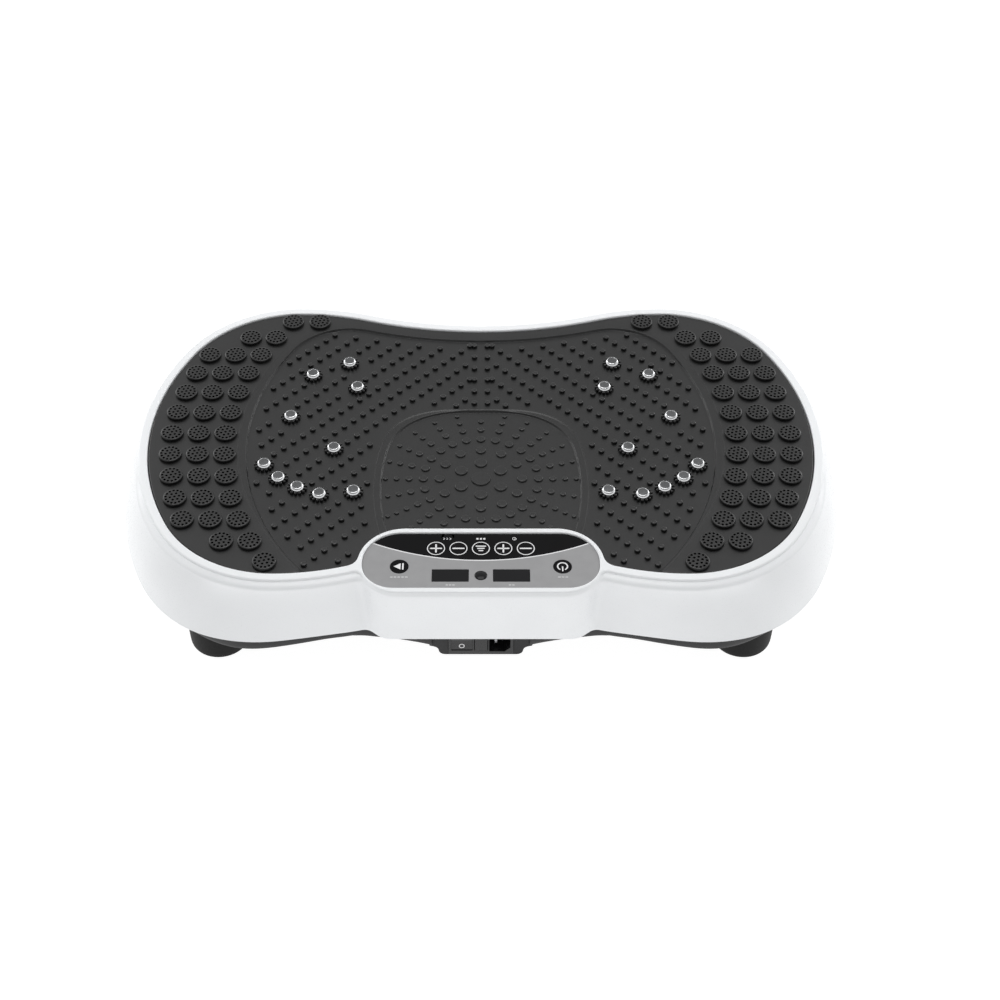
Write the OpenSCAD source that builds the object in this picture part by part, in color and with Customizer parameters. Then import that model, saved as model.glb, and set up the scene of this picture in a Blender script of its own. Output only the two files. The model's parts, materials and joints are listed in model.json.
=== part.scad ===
// Slim vibration plate: a rocking platform on a low base, driven by a belt and a cam shaft.
// Origin: centre of the footprint, on the floor.  X to the user's side, -Y towards the console.

/* [Platform outline] */
// Half width of the rubber mat
mat_half_w = 246; // [243:0.5:248]
// Half depth of the rubber mat at its lobes
mat_half_d = 140.5; // [139:0.5:142]
// Half depth of the rubber mat at its waist
waist_half_d = 119; // [117:0.5:121]
// Radius of the side arcs
side_r = 195; // [190:1:200]
// Radius of the four corner arcs
corner_r = 90; // [85:1:95]
// Radius of the arcs that lead from the lobes to the waist
lobe_r = 180; // [175:1:185]

/* [Heights above the floor] */
// Top of the outer zone of the mat
mat_top = 118; // [117.5:0.1:118.5]
// Lower edge of the white shell
shell_bottom = 70; // [69.5:0.1:70.5]
// Underside of the base tray
tray_bottom = 50; // [49.5:0.1:50.2]
// Axis height of the pivots, the cam shaft and the motor
axle_z = 76; // [75.8:0.1:76.2]

/* [Mat] */
// Thickness of the rubber in the outer zone
mat_t = 6; // [5.8:0.1:6.2]
// Depth of the middle zone below the outer zone
mid_drop = 1.8; // [1.4:0.1:2.2]
// Depth of the central zone below the outer zone
core_drop = 3.4; // [3:0.1:3.8]
// Diameter of the massage discs
disc_d = 17; // [15:0.5:18]
// Height of the massage discs
disc_h = 2.2; // [1:0.1:2.5]
// Pitch of the small dots along their diagonal rows
dot_pitch = 9.45; // [9.2:0.05:9.8]
// Diameter of the small dots
dot_d = 4.4; // [3.6:0.1:5]

/* [Drive] */
// Distance of the cam shaft from the rocking axis
cam_x = 95; // [94:0.5:96]
// Distance of the motor from the rocking axis
motor_x = 80; // [78:0.5:82]
// Throw of the cams
throw = 2; // [1.5:0.1:2]
// Radius of the driven pulley
driven_r = 20; // [19:0.5:20]
// Radius of the motor pulley
motor_pulley_r = 10; // [9:0.5:10]

/* [Feet] */
// Distance of the feet from the middle, along X
foot_x = 195.5; // [192:0.5:200]
// Distance of the feet from the middle, along Y
foot_y = 95.5; // [92:0.5:98]

/* [Console] */
// Pitch of the five keys
key_pitch = 15.6; // [15.2:0.1:16]
// Distance of the start and power keys from the middle
icon_x = 56.2; // [55:0.2:58]
// Radius of a key cap
key_r = 6.3; // [6:0.1:6.5]

/* [Hidden] */
$fn = 48;
run_gap = 0.05;
skin = 3;
clear = 0.3;

// Outline arcs, worked out from the driving dimensions
side_cx = mat_half_w - side_r;
corner_cy = mat_half_d - corner_r;
side_a = asin(corner_cy / (side_r - corner_r));
corner_cx = side_cx + (side_r - corner_r) * cos(side_a);
lobe_cy = mat_half_d - lobe_r;
waist_k = waist_half_d - lobe_cy;
waist_r = (lobe_r * lobe_r - corner_cx * corner_cx - waist_k * waist_k) / (2 * (waist_k - lobe_r));
blend_x = corner_cx * waist_r / (lobe_r + waist_r);

// Heights that follow from each other
mat_bottom = mat_top - mat_t;
deck_t = 6;
deck_bottom = mat_bottom - deck_t;
ledge_t = 3;
rim_top = mat_top + 1.2;
rail_h = 6;
rail_bottom = deck_bottom - rail_h;
tray_floor = tray_bottom + 2.5;
frame_t = 3;
frame_top = tray_floor + frame_t;

// Console plan, all in front of the mat
console_rear = 97.7;
console_half_w = 85.7;
panel_half_w = 81.8;
panel_rear = 102.4;
panel_front = 153.8;
panel_top = rim_top - 1;
panel_t = 1.2;
console_skin_z = panel_top - panel_t;
console_skin_t = 2.5;
key_y = -116.8;
icon_y = -133.8;
window_y = -142.1;
window_size = [25.5, 11.5];
window_x = 21;
key_travel = 0.5;
board_z = 102;
board_t = 1.6;

// Inlet module plan
inlet_z = 57;
inlet_w = 46;
inlet_h = 29;
housing_half_w = 28.6;
housing_face = 147;
housing_bottom = 41;
housing_rear = 99;
rocker_x = -13.6;
rocker_depth = 4;
rocker_tilt = 8;
fuse_x = 0.2;
socket_x = 13.2;
pin_spots = [[-2.5, -7], [-2.5, 7], [2.5, 0]];
wire_gate_x = 20;
wire_gate_z = 62;

// Drive plan
rail_y = 50;
bearing_y = 34;
hanger_y = 84;
cam_r = 9;
follower_r = 12;
shaft_r = 6;
pivot_r = 5;
belt_t = 1.5;
belt_w = 10;
motor_r = 20;
motor_y0 = -62;
motor_y1 = -14;
yoke_clear = 2 * throw + clear;
cross_x = 182;
control_x = 165;

white = [0.91, 0.92, 0.93];
rubber = [0.2, 0.2, 0.21];
dark = [0.17, 0.17, 0.18];
steel = [0.62, 0.64, 0.66];
board_green = [0.1, 0.35, 0.2];

// ---- outline functions ----

// Points along an arc, without its last point, which the next stretch starts with
function arc(cx, cy, r, a0, a1, n) =
    [for (i = [0 : n - 1]) let (a = a0 + (a1 - a0) * i / n) [cx + r * cos(a), cy + r * sin(a)]];

// How far a ring stands out from the mat outline, by direction: [degrees from the X axis, distance]
shell_flare = [[0, 23.5], [12, 24], [20, 25.5], [32, 27.3], [36, 27], [39, 26], [42, 24.3], [45, 22.5],
    [48, 20.3], [51, 18.3], [54, 17.5], [57, 17.7], [61, 19], [90, 19.5]];
tray_flare = [[0, 12], [30, 15], [39, 15.2], [42, 14], [44, 11.6], [46, 9], [49, 6], [52, 4.4], [56, 5.6],
    [60, 7], [90, 7]];

// The same list moved a share t of the way from a constant distance, or made wider by w
function part_flare(list, from, t) = [for (p = list) [p[0], from + t * (p[1] - from)]];
function wider(list, w) = [for (p = list) [p[0], p[1] + w]];

// Distance at the point x, y; d is one number or a list as above
function reach(d, x, y) = is_list(d) ? lookup(atan2(abs(y), abs(x)), d) : d;

// Points along an arc that stands out by reach()
function flared_arc(cx, cy, r, a0, a1, n, d) =
    [for (p = arc(cx, cy, r, a0, a1, n)) let (e = reach(d, p[0], p[1])) p + e / r * (p - [cx, cy])];

// Depth of the lobe and waist outline at x, for the outline grown by d
function lobe_depth(x, d) =
    abs(x) > blend_x
        ? lobe_cy + sqrt(pow(lobe_r + d, 2) - pow(abs(x) - corner_cx, 2))
        : waist_half_d + waist_r - sqrt(pow(waist_r - d, 2) - x * x);

// Depth of the console front at x: a straight front of depth f with corners of radius r
function console_depth(x, w, r, f) =
    abs(x) <= w - r ? f
    : abs(x) < w ? f - r + sqrt(r * r - pow(abs(x) - w + r, 2))
    : 0;

// The larger of a and b, with a soft blend of size k where they meet
function soft_max(a, b, k) = max(a, b) + pow(max(k - abs(a - b), 0) / k, 2) * k / 4;

// Evenly spaced places from x0 up to, but not with, x1
function stations(x0, x1, n) = [for (i = [0 : n - 1]) x0 + (x1 - x0) * i / n];

// Closed outline grown by d, a number or a list for reach(); c = [half width, corner radius, depth]
// of the console part
function outline(d, c) = concat(
    flared_arc(corner_cx, -corner_cy, corner_r, -90, -side_a, 8, d),
    flared_arc(side_cx, 0, side_r, -side_a, side_a, 10, d),
    flared_arc(corner_cx, corner_cy, corner_r, side_a, 90, 8, d),
    [for (x = stations(corner_cx, -corner_cx, 20)) [x, lobe_depth(x, reach(d, x, lobe_depth(x, 0)))]],
    flared_arc(-corner_cx, corner_cy, corner_r, 90, 180 - side_a, 8, d),
    flared_arc(-side_cx, 0, side_r, 180 - side_a, 180 + side_a, 10, d),
    flared_arc(-corner_cx, -corner_cy, corner_r, 180 + side_a, 270, 8, d),
    [for (x = stations(-corner_cx, corner_cx, 64)) let (e = reach(d, x, lobe_depth(x, 0)))
        [x, -soft_max(lobe_depth(x, e), console_depth(x, c[0], c[1], c[2]), 6)]]);

// Solid through a stack of rings; each ring is [z, points], all with the same number of points.
// The two ends are fans around their middle, which sees every point of the outline.
module loft(rings) {
    n = len(rings[0][1]);
    m = len(rings);
    points = concat(
        [for (ring = rings) for (p = ring[1]) [p[0], p[1], ring[0]]],
        [[0, 0, rings[0][0]], [0, 0, rings[m - 1][0]]]);
    sides = [for (j = [0 : m - 2]) for (i = [0 : n - 1]) let (k = (i + 1) % n)
        each [[j * n + i, (j + 1) * n + i, (j + 1) * n + k], [j * n + i, (j + 1) * n + k, j * n + k]]];
    bottom = [for (i = [0 : n - 1]) [m * n, i, (i + 1) % n]];
    top = [for (i = [0 : n - 1]) [m * n + 1, (m - 1) * n + (i + 1) % n, (m - 1) * n + i]];
    polyhedron(points = points, faces = concat(bottom, sides, top), convexity = 6);
}

module outline_2d(d) {
    polygon(outline(d, [10, 5, 10]));
}

// Rounded outline of the console opening, grown by g
module console_2d(g) {
    half = console_half_w + g;
    rear_r = 33 + g;
    rear_y = -console_rear + g - rear_r;
    polygon(concat(
        [[-half, -190], [half, -190]],
        arc(half - rear_r, rear_y, rear_r, 0, 90, 9),
        arc(-half + rear_r, rear_y, rear_r, 90, 180, 9),
        [[-half, rear_y]]));
}

// Plan of the mat, grown by g
module mat_2d(g) {
    difference() {
        outline_2d(g);
        console_2d(-g);
    }
}

// Plan of the console panel, grown by g
module panel_2d(g) {
    rear_r = 27 + g;
    front_r = 22 + g;
    half = panel_half_w + g;
    rear_y = -panel_rear + g - rear_r;
    front_y = -panel_front - g + front_r;
    polygon(concat(
        arc(half - rear_r, rear_y, rear_r, 0, 90, 8),
        arc(-half + rear_r, rear_y, rear_r, 90, 180, 8),
        [[-half, rear_y]],
        arc(-half + front_r, front_y, front_r, 180, 270, 8),
        arc(half - front_r, front_y, front_r, 270, 360, 8),
        [[half, front_y]]));
}

function key_xs() = [for (i = [-2 : 2]) i * key_pitch];
function key_spots() = concat([for (x = key_xs()) [x, key_y]], [[-icon_x, icon_y], [icon_x, icon_y]]);

module tube(r_out, r_in, h) {
    difference() {
        cylinder(r = r_out, h = h);
        translate([0, 0, -1])
            cylinder(r = r_in, h = h + 2);
    }
}

// Turns a solid built along +Z to lie along +Y, starting at y0
module along_y(x, y0, z) {
    translate([x, y0, z])
        rotate([-90, 0, 0])
            children();
}

module pan_screw(head_r, head_h, shank_r, shank_l) {
    cylinder(r = head_r, h = head_h);
    translate([0, 0, -shank_l])
        cylinder(r = shank_r, h = shank_l);
}

// ---- platform ----

module outer_shell() {
    shoulder = 12;
    color(white)
    difference() {
        loft([
            [shell_bottom, outline(shell_flare, [78.5, 16, 158.2])],
            [shell_bottom + 18, outline(part_flare(shell_flare, shoulder, 0.62), [80.6, 20, 158.6])],
            [shell_bottom + 34, outline(part_flare(shell_flare, shoulder, 0.22), [82.4, 24, 159.1])],
            [rim_top - 4.4, outline(shoulder, [83.6, 27, 159.6])],
            [rim_top - 3.1, outline(8, [83.6, 27, 159])],
            [rim_top - 0.8, outline(7, [83.6, 27, 158.8])],
            [rim_top, outline(6, [83, 27, 158])]]);
        loft([
            [shell_bottom - 1, outline(wider(shell_flare, -skin), [75.5, 13, 155.2])],
            [deck_bottom - ledge_t - 6, outline(shoulder - skin, [75.5, 16, 153])],
            [deck_bottom - ledge_t, outline(3, [75.5, 18, 150])]]);
        translate([0, 0, deck_bottom])
            linear_extrude(20)
                mat_2d(0.3);
        translate([0, 0, deck_bottom - ledge_t - 1])
            linear_extrude(ledge_t + 2)
                mat_2d(-8);
        translate([0, 0, deck_bottom - ledge_t - 1])
            linear_extrude(console_skin_z - console_skin_t - deck_bottom + ledge_t + 1)
                panel_2d(-0.5);
        translate([0, 0, console_skin_z])
            linear_extrude(10)
                panel_2d(0.2);
        for (p = key_spots())
            translate([p[0], p[1], 100])
                cylinder(r = 3.4, h = 30);
        for (s = [-1, 1])
            translate([s * window_x, window_y, 110])
                cube([window_size[0] - 3, window_size[1] - 3, 30], center = true);
        translate([0, window_y, 100])
            cylinder(r = 3, h = 30);
        deck_screw_holes(2.2);
    }
}

function ledge_screws() = [for (sx = [-1, 1]) for (p = [[232, 0], [150, 131], [150, -131]]) [sx * p[0], p[1]]];
function rail_screws() = [for (x = [-cross_x, -120, -40, 40, 120, cross_x]) for (sy = [-1, 1]) [x, sy * rail_y]];

module deck_screw_holes(r) {
    for (p = concat(ledge_screws(), rail_screws()))
        translate([p[0], p[1], rail_bottom - 5])
            cylinder(r = r, h = 30);
}

module deck_plate() {
    color([0.45, 0.36, 0.25])
    difference() {
        translate([0, 0, deck_bottom])
            linear_extrude(deck_t)
                mat_2d(0);
        deck_screw_holes(2.2);
        for (p = concat(ledge_screws(), rail_screws()))
            translate([p[0], p[1], mat_bottom - 2.5])
                cylinder(r = 4.6, h = 5);
    }
}

module deck_screws() {
    color(steel)
    for (p = concat(ledge_screws(), rail_screws()))
        translate([p[0], p[1], mat_bottom - 2.4])
            pan_screw(4.2, 2.2, 2.1, 9.5);
}

// Plan of the middle zone of the mat, grown by g
module mid_zone_2d(g) {
    intersection() {
        outline_2d(-11 + g / 3);
        translate([31.5, -3])
            circle(205 + g, $fn = 120);
        translate([-31.5, -3])
            circle(205 + g, $fn = 120);
    }
    translate([-128.5 - g / 3, -138])
        square([257 + g / 1.5, 40]);
}

// Plan of the central zone of the mat, grown by g
module core_zone_2d(g) {
    intersection() {
        translate([122, -50])
            circle(194 + g, $fn = 120);
        translate([-122, -50])
            circle(194 + g, $fn = 120);
        union() {
            translate([-32, -12])
                circle(40 + g);
            translate([32, -12])
                circle(40 + g);
            translate([-32, -12])
                square([64, 40 + g]);
            translate([-100, -130])
                square([200, 120]);
        }
    }
}

// Rows of massage discs on one side: [distance from the middle row, x of the outer disc, count]
disc_rows = [[0, 229.5, 3], [22.8, 228, 3], [45.6, 224.4, 3], [68, 219, 3], [89.5, 211.2, 3], [110.5, 181.3, 2]];
disc_x_pitch = 19.9;
disc_end_y = 130;
disc_end_x = 149.5;

function disc_spots() = concat(
    [for (row = disc_rows) for (sy = row[0] == 0 ? [1] : [-1, 1]) for (i = [0 : row[2] - 1])
        [row[1] - disc_x_pitch * i, sy * row[0]]],
    [[disc_end_x, disc_end_y], [disc_end_x - 21.3, disc_end_y], [disc_end_x, -disc_end_y]]);

// Chrome studs on the right half
stud_spots = [[102, 81.5], [129.5, 67.5], [94.5, 53], [143, 20], [108.5, -15], [158.5, -32], [147, -46],
    [132.5, -56], [116.2, -63], [91.8, -60]];

// True where the middle zone has room for a dot
function dot_fits(p) =
    p[1] < lobe_depth(p[0], -17) && p[1] > -lobe_depth(p[0], -5)
    && norm(p - [-31.5, -3]) < 200
    && !(norm(p - [-122, -50]) < 206 && norm(p - [122, -50]) < 206 && p[1] < 34
        && !(abs(p[0]) > 32 && p[1] > -12 && norm([abs(p[0]), p[1]] - [32, -12]) > 46))
    && !(abs(p[0]) < 93 && p[1] < -92 && norm([max(abs(p[0]) - 52, 0), p[1] + 131]) < 39)
    && !(abs(p[0]) < 91 && p[1] < -126)
    && min([for (s = stud_spots) norm(p - s)]) > 10.5;

dot_origin = [149, 43];
dot_row = 1.5 * dot_pitch;

function dot_spots() = concat(
    [for (j = [-16 : 22]) for (i = [-24 : 24])
        let (p = dot_origin + i * dot_pitch * [-cos(45), sin(45)]
            + j * (dot_row * [-sin(45), -cos(45)] + dot_pitch * [cos(45), -sin(45)]))
        if (p[0] > 8 && dot_fits(p)) p],
    [for (k = [0 : 6]) let (p = [5, 103 - 13.4 * k]) if (dot_fits(p)) p]);

// Rings of round pads in the central zone: [radius, count, pad diameter]
core_rings = [[16.5, 6, 9.7], [30, 12, 7.8], [41.9, 24, 6.8], [52.3, 24, 5.4], [61.3, 24, 4.4], [69.4, 24, 3.8],
    [76.5, 24, 3.4]];
core_centre = [0, -44];

function core_fits(p) =
    norm(p - [-122, -50]) < 191.5 && norm(p - [122, -50]) < 191.5 && p[1] < 25 && p[1] > -92
    && !(abs(p[0]) > 32 && p[1] > -12 && norm([abs(p[0]), p[1]] - [32, -12]) > 35)
    && !(p[1] < -85 && abs(p[0]) > 60);

module rubber_mat() {
    color(rubber)
    difference() {
        union() {
            difference() {
                translate([0, 0, mat_bottom])
                    linear_extrude(mat_t)
                        mat_2d(-0.1);
                translate([0, 0, mat_top - mid_drop])
                    linear_extrude(10)
                        mid_zone_2d(0);
                translate([0, 0, mat_top - core_drop])
                    linear_extrude(10)
                        core_zone_2d(0);
            }
            for (s = [-1, 1]) {
                for (p = disc_spots())
                    translate([s * p[0], p[1], mat_top - 1])
                        cylinder(d = disc_d, h = disc_h + 1);
                for (p = dot_spots())
                    translate([s * p[0], p[1], mat_top - mid_drop - 1])
                        cylinder(d = dot_d, h = 2.4);
            }
            translate([core_centre[0], core_centre[1], mat_top - core_drop - 1])
                cylinder(d = 14, h = 2);
            for (ring = core_rings)
                for (i = [0 : ring[1] - 1])
                    let (a = 90 + 360 * i / ring[1],
                        p = core_centre + ring[0] * [cos(a), sin(a)])
                    if (core_fits(p))
                        translate([p[0], p[1], mat_top - core_drop - 1])
                            cylinder(d = ring[2], h = 2);
        }
        for (s = [-1, 1])
            for (p = stud_spots)
                translate([s * p[0], p[1], mat_bottom - 1])
                    cylinder(r = 3.1, h = mat_t);
    }
}

module magnet_studs() {
    color([0.8, 0.8, 0.82])
    for (s = [-1, 1])
        for (p = stud_spots)
            translate([s * p[0], p[1], mat_top - mid_drop]) {
                cylinder(r = 5.3, h = 2.4);
                translate([0, 0, 2.4])
                    cylinder(r1 = 5.3, r2 = 4.8, h = 1.2);
                translate([0, 0, 3.6])
                    cylinder(r1 = 4.8, r2 = 3.8, h = 0.9);
                translate([0, 0, -3.5])
                    cylinder(r = 3, h = 3.6);
            }
}

module platform_frame() {
    yoke_half_z = follower_r + yoke_clear;
    yoke_half_x = 16.5;
    color([0.25, 0.26, 0.28])
    difference() {
        union() {
            for (s = [-1, 1]) {
                translate([-cross_x - 12, s * rail_y - 10, rail_bottom])
                    cube([2 * cross_x + 24, 20, rail_h]);
                translate([s * cross_x - 10, -rail_y, rail_bottom])
                    cube([20, 2 * rail_y, rail_h]);
                translate([-15, s > 0 ? rail_y : -hanger_y - 5, rail_bottom])
                    cube([30, hanger_y + 5 - rail_y, rail_h]);
                translate([-14, s * hanger_y - 4, axle_z])
                    cube([28, 8, rail_bottom - axle_z + 1]);
                along_y(0, s * hanger_y - 4, axle_z)
                    cylinder(r = 14, h = 8);
                translate([cam_x - yoke_half_x - 4, s * rail_y - 4, axle_z - yoke_half_z - 3.8])
                    cube([2 * yoke_half_x + 8, 8, rail_bottom - axle_z + yoke_half_z + 4.8]);
            }
        }
        for (s = [-1, 1]) {
            along_y(0, s * hanger_y - 5, axle_z)
                cylinder(r = 8, h = 10);
            translate([cam_x - yoke_half_x, s * rail_y - 6, axle_z - yoke_half_z])
                cube([2 * yoke_half_x, 12, 2 * yoke_half_z]);
        }
        for (p = rail_screws())
            translate([p[0], p[1], rail_bottom - 5])
                cylinder(r = 2.15, h = 30);
    }
}

module pivot_bushes() {
    color([0.75, 0.6, 0.3])
    for (s = [-1, 1])
        along_y(0, s * hanger_y - 5, axle_z)
            tube(8 - 0.02, pivot_r + run_gap, 10);
}

module console_panel() {
    color([0.6, 0.6, 0.61])
    difference() {
        translate([0, 0, console_skin_z])
            linear_extrude(panel_t)
                panel_2d(0);
        for (p = key_spots())
            translate([p[0], p[1], 100])
                cylinder(r = key_r + 0.3, h = 30);
        for (s = [-1, 1])
            translate([s * window_x, window_y, mat_top])
                cube([window_size[0], window_size[1], 30], center = true);
        translate([0, window_y, 100])
            cylinder(r = 4.4, h = 30);
    }
}

module display_windows() {
    color([0.1, 0.1, 0.11])
    for (s = [-1, 1])
        translate([s * window_x, window_y, console_skin_z + 0.5])
            cube([window_size[0] - 0.2, window_size[1] - 0.2, 1], center = true);
}

module receiver_window() {
    color([0.1, 0.1, 0.11])
    translate([0, window_y, console_skin_z])
        cylinder(r = 4.3, h = 1);
}

module key_cap(p) {
    color([0.12, 0.12, 0.13])
    translate([p[0], p[1], 0]) {
        translate([0, 0, panel_top - 0.4])
            cylinder(r = key_r, h = 0.8);
        translate([0, 0, board_z + board_t + 4.2])
            cylinder(r = 3, h = panel_top - 0.3 - board_z - board_t - 4.2);
        translate([0, 0, console_skin_z - console_skin_t - 2.1])
            cylinder(r = 4.4, h = 1.2);
    }
}

module key_speed_up() { key_cap([-2 * key_pitch, key_y]); }
module key_speed_down() { key_cap([-key_pitch, key_y]); }
module key_program() { key_cap([0, key_y]); }
module key_time_up() { key_cap([key_pitch, key_y]); }
module key_time_down() { key_cap([2 * key_pitch, key_y]); }
module key_start() { key_cap([-icon_x, icon_y]); }
module key_power() { key_cap([icon_x, icon_y]); }

module console_board() {
    color(board_green)
    difference() {
        translate([-70, -150, board_z])
            cube([140, 42, board_t]);
        for (s = [-1, 1])
            translate([s * 66, -146, board_z - 1])
                cylinder(r = 1.6, h = 5);
    }
    color([0.9, 0.9, 0.85])
    translate([56, -128, board_z - 5.4])
        cube([8, 8, 5.4]);
}

module tact_switches() {
    color([0.2, 0.2, 0.2])
    for (p = key_spots())
        translate([p[0], p[1], board_z + board_t]) {
            translate([-3, -3, 0])
                cube([6, 6, 2.6]);
            cylinder(r = 1.7, h = 3.6);
        }
}

module display_modules() {
    color([0.85, 0.85, 0.82])
    for (s = [-1, 1])
        translate([s * window_x - 11, window_y - 4, board_z + board_t])
            cube([22, 8, 7]);
    color([0.15, 0.12, 0.12])
    translate([-3, window_y - 2.5, board_z + board_t])
        cube([6, 5, 6.5]);
}

// A point at t between b and c on a smooth curve through a, b, c and d
function smooth(a, b, c, d, t) =
    0.5 * (2 * b + (c - a) * t + (2 * a - 5 * b + 4 * c - d) * t * t + (3 * b - a - 3 * c + d) * t * t * t);

function smooth_route(p) = let (last = len(p) - 1) concat(
    [for (i = [0 : last - 1]) for (k = [0 : 3])
        smooth(p[max(i - 1, 0)], p[i], p[i + 1], p[min(i + 2, last)], k / 4)],
    [p[last]]);

function unit(v) = v / norm(v);

// Wire of radius r along a smooth route; no leg of a route runs along wire_up
wire_up = unit([0.3, 0.2, 0.93]);
wire_sides = 8;

module wire(points, r) {
    route = smooth_route(points);
    last = len(route) - 1;
    rings = [for (i = [0 : last])
        let (t = unit(route[min(i + 1, last)] - route[max(i - 1, 0)]), u = unit(cross(t, wire_up)), v = cross(t, u))
        for (k = [0 : wire_sides - 1])
            route[i] + r * cos(360 * k / wire_sides) * u + r * sin(360 * k / wire_sides) * v];
    sides = [for (i = [0 : last - 1]) for (k = [0 : wire_sides - 1])
        let (a = i * wire_sides + k, b = i * wire_sides + (k + 1) % wire_sides)
        each [[a, b, b + wire_sides], [a, b + wire_sides, a + wire_sides]]];
    start = [[for (k = [wire_sides - 1 : -1 : 0]) k]];
    end = [[for (k = [0 : wire_sides - 1]) last * wire_sides + k]];
    polyhedron(points = rings, faces = concat(start, sides, end), convexity = 6);
}

module console_cable() {
    color([0.1, 0.1, 0.1])
    wire([[60, -119.6, board_z - 3], [60, -96, board_z - 4], [90, -76, 95], [140, -66, 94], [150, -40, 95],
        [150, -20, 96]], 2);
}

// ---- cam shaft ----

module cam_shaft() {
    color(steel)
    along_y(cam_x, -58, axle_z)
        cylinder(r = shaft_r, h = 116);
}

module cams() {
    color([0.5, 0.5, 0.52])
    for (s = [-1, 1])
        difference() {
            along_y(cam_x, s * rail_y - 4, axle_z + throw)
                cylinder(r = cam_r, h = 8);
            along_y(cam_x, s * rail_y - 6, axle_z)
                cylinder(r = shaft_r + 0.02, h = 12);
        }
}

module follower_bearings() {
    color([0.7, 0.7, 0.72])
    for (s = [-1, 1])
        along_y(cam_x, s * rail_y - 4, axle_z + throw)
            tube(follower_r, cam_r + 0.02, 8);
}

// Flanged pulley with a raised rim on each side of the belt, centred on Y = 0
module pulley(x, r, bore) {
    along_y(x, -belt_w / 2 - 1.5, axle_z)
        difference() {
            union() {
                cylinder(r = r, h = belt_w + 3);
                cylinder(r = r + 1.2, h = 1);
                translate([0, 0, belt_w + 2])
                    cylinder(r = r + 1.2, h = 1);
            }
            translate([0, 0, -1])
                cylinder(r = bore, h = belt_w + 6);
        }
}

module driven_pulley() {
    color([0.3, 0.3, 0.32])
    difference() {
        pulley(cam_x, driven_r, shaft_r + 0.02);
        for (a = [45 : 90 : 315])
            along_y(cam_x + 13 * cos(a), -10, axle_z + 13 * sin(a))
                cylinder(r = 3.5, h = 20);
    }
}

// ---- motor rotor ----

module motor_rotor() {
    color([0.55, 0.45, 0.35])
    union() {
        along_y(-motor_x, motor_y0 + 2, axle_z)
            cylinder(r = 3, h = 68);
        along_y(-motor_x, motor_y0 + 8, axle_z)
            cylinder(r = 13.5, h = 32);
    }
}

module motor_pulley() {
    color([0.3, 0.3, 0.32])
    pulley(-motor_x, motor_pulley_r, 3.02);
}

// ---- base ----

// Front bulge of the tray around the inlet housing
function tray_bulge(d) = [60, 40, 141 + d];

module base_tray() {
    color(dark)
    difference() {
        union() {
            difference() {
                loft([
                    [tray_bottom, outline(tray_flare, tray_bulge(4))],
                    [tray_bottom + 4, outline(wider(tray_flare, 2.5), tray_bulge(5))],
                    [shell_bottom - 2, outline(wider(tray_flare, 4), tray_bulge(5))]]);
                loft([
                    [tray_floor, outline(wider(tray_flare, -1), tray_bulge(2))],
                    [shell_bottom - 1, outline(wider(tray_flare, 1.5), tray_bulge(2))]]);
            }
            inlet_housing();
        }
        translate([-housing_half_w + 2.5, -housing_face + 2.5, housing_bottom + 2.5])
            cube([2 * housing_half_w - 5, housing_face - housing_rear - 5, 40]);
        translate([-inlet_w / 2 + 0.8, -housing_face - 5, inlet_z - inlet_h / 2 + 1.3])
            cube([inlet_w - 1.6, 20, inlet_h - 2.6]);
        translate([wire_gate_x - 6, -housing_rear - 5, wire_gate_z - 5.5])
            cube([12, 8, 11]);
        for (sx = [-1, 1])
            for (sy = [-1, 1])
                translate([sx * foot_x, sy * foot_y, tray_bottom - 5])
                    cylinder(r = 3.2, h = 20);
    }
}

// Box below the tray that holds the inlet module
module inlet_housing() {
    translate([-housing_half_w, 0, 0])
        rotate([90, 0, 90])
            linear_extrude(2 * housing_half_w)
                polygon([[-housing_face, housing_bottom], [-housing_rear, housing_bottom],
                    [-housing_rear + 14, tray_bottom + 1], [-housing_rear, tray_bottom + 1.5],
                    [-housing_rear, shell_bottom + 1], [-housing_face, shell_bottom + 1]]);
}

module base_frame() {
    color([0.25, 0.26, 0.28])
    difference() {
        union() {
            translate([-120, -42, tray_floor])
                cube([246, 84, frame_t]);
            translate([-22, -foot_y, tray_floor])
                cube([44, 2 * foot_y, frame_t]);
            for (s = [-1, 1])
                translate([-foot_x - 20, s * foot_y - 12, tray_floor])
                    cube([2 * foot_x + 40, 24, frame_t]);
        }
        for (sx = [-1, 1])
            for (sy = [-1, 1])
                translate([sx * foot_x, sy * foot_y, tray_floor - 5])
                    cylinder(r = 3.2, h = 20);
        translate([-housing_half_w - clear, -foot_y - 20, tray_floor - 1])
            cube([2 * housing_half_w + 2 * clear, foot_y + 20 - housing_rear + clear, 10]);
        translate([cam_x - 31, -8, tray_floor - 1])
            cube([58, 16, frame_t + 2]);
    }
}

// Rubber suction foot: a soft-sided cup with a shallow hollow underneath
module foot(x, y) {
    color([0.12, 0.12, 0.12])
    translate([x, y, 0])
        rotate_extrude($fn = 48)
            difference() {
                polygon([[0, 0], [21.6, 0], [22.3, 1.5], [22.6, 5], [22.7, 30], [22.4, 40], [21.6, 47],
                    [20.5, tray_bottom], [0, tray_bottom]]);
                polygon([[-1, -1], [17, -1], [15, 1.5], [8, 3], [-1, 3.4]]);
                translate([-1, 30])
                    square([4.1, 30]);
            }
}

module foot_front_left() { foot(-foot_x, -foot_y); }
module foot_front_right() { foot(foot_x, -foot_y); }
module foot_rear_left() { foot(-foot_x, foot_y); }
module foot_rear_right() { foot(foot_x, foot_y); }

module foot_screws() {
    color(steel)
    for (sx = [-1, 1])
        for (sy = [-1, 1])
            translate([sx * foot_x, sy * foot_y, frame_top])
                pan_screw(7, 3, 3, 24);
}

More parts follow.
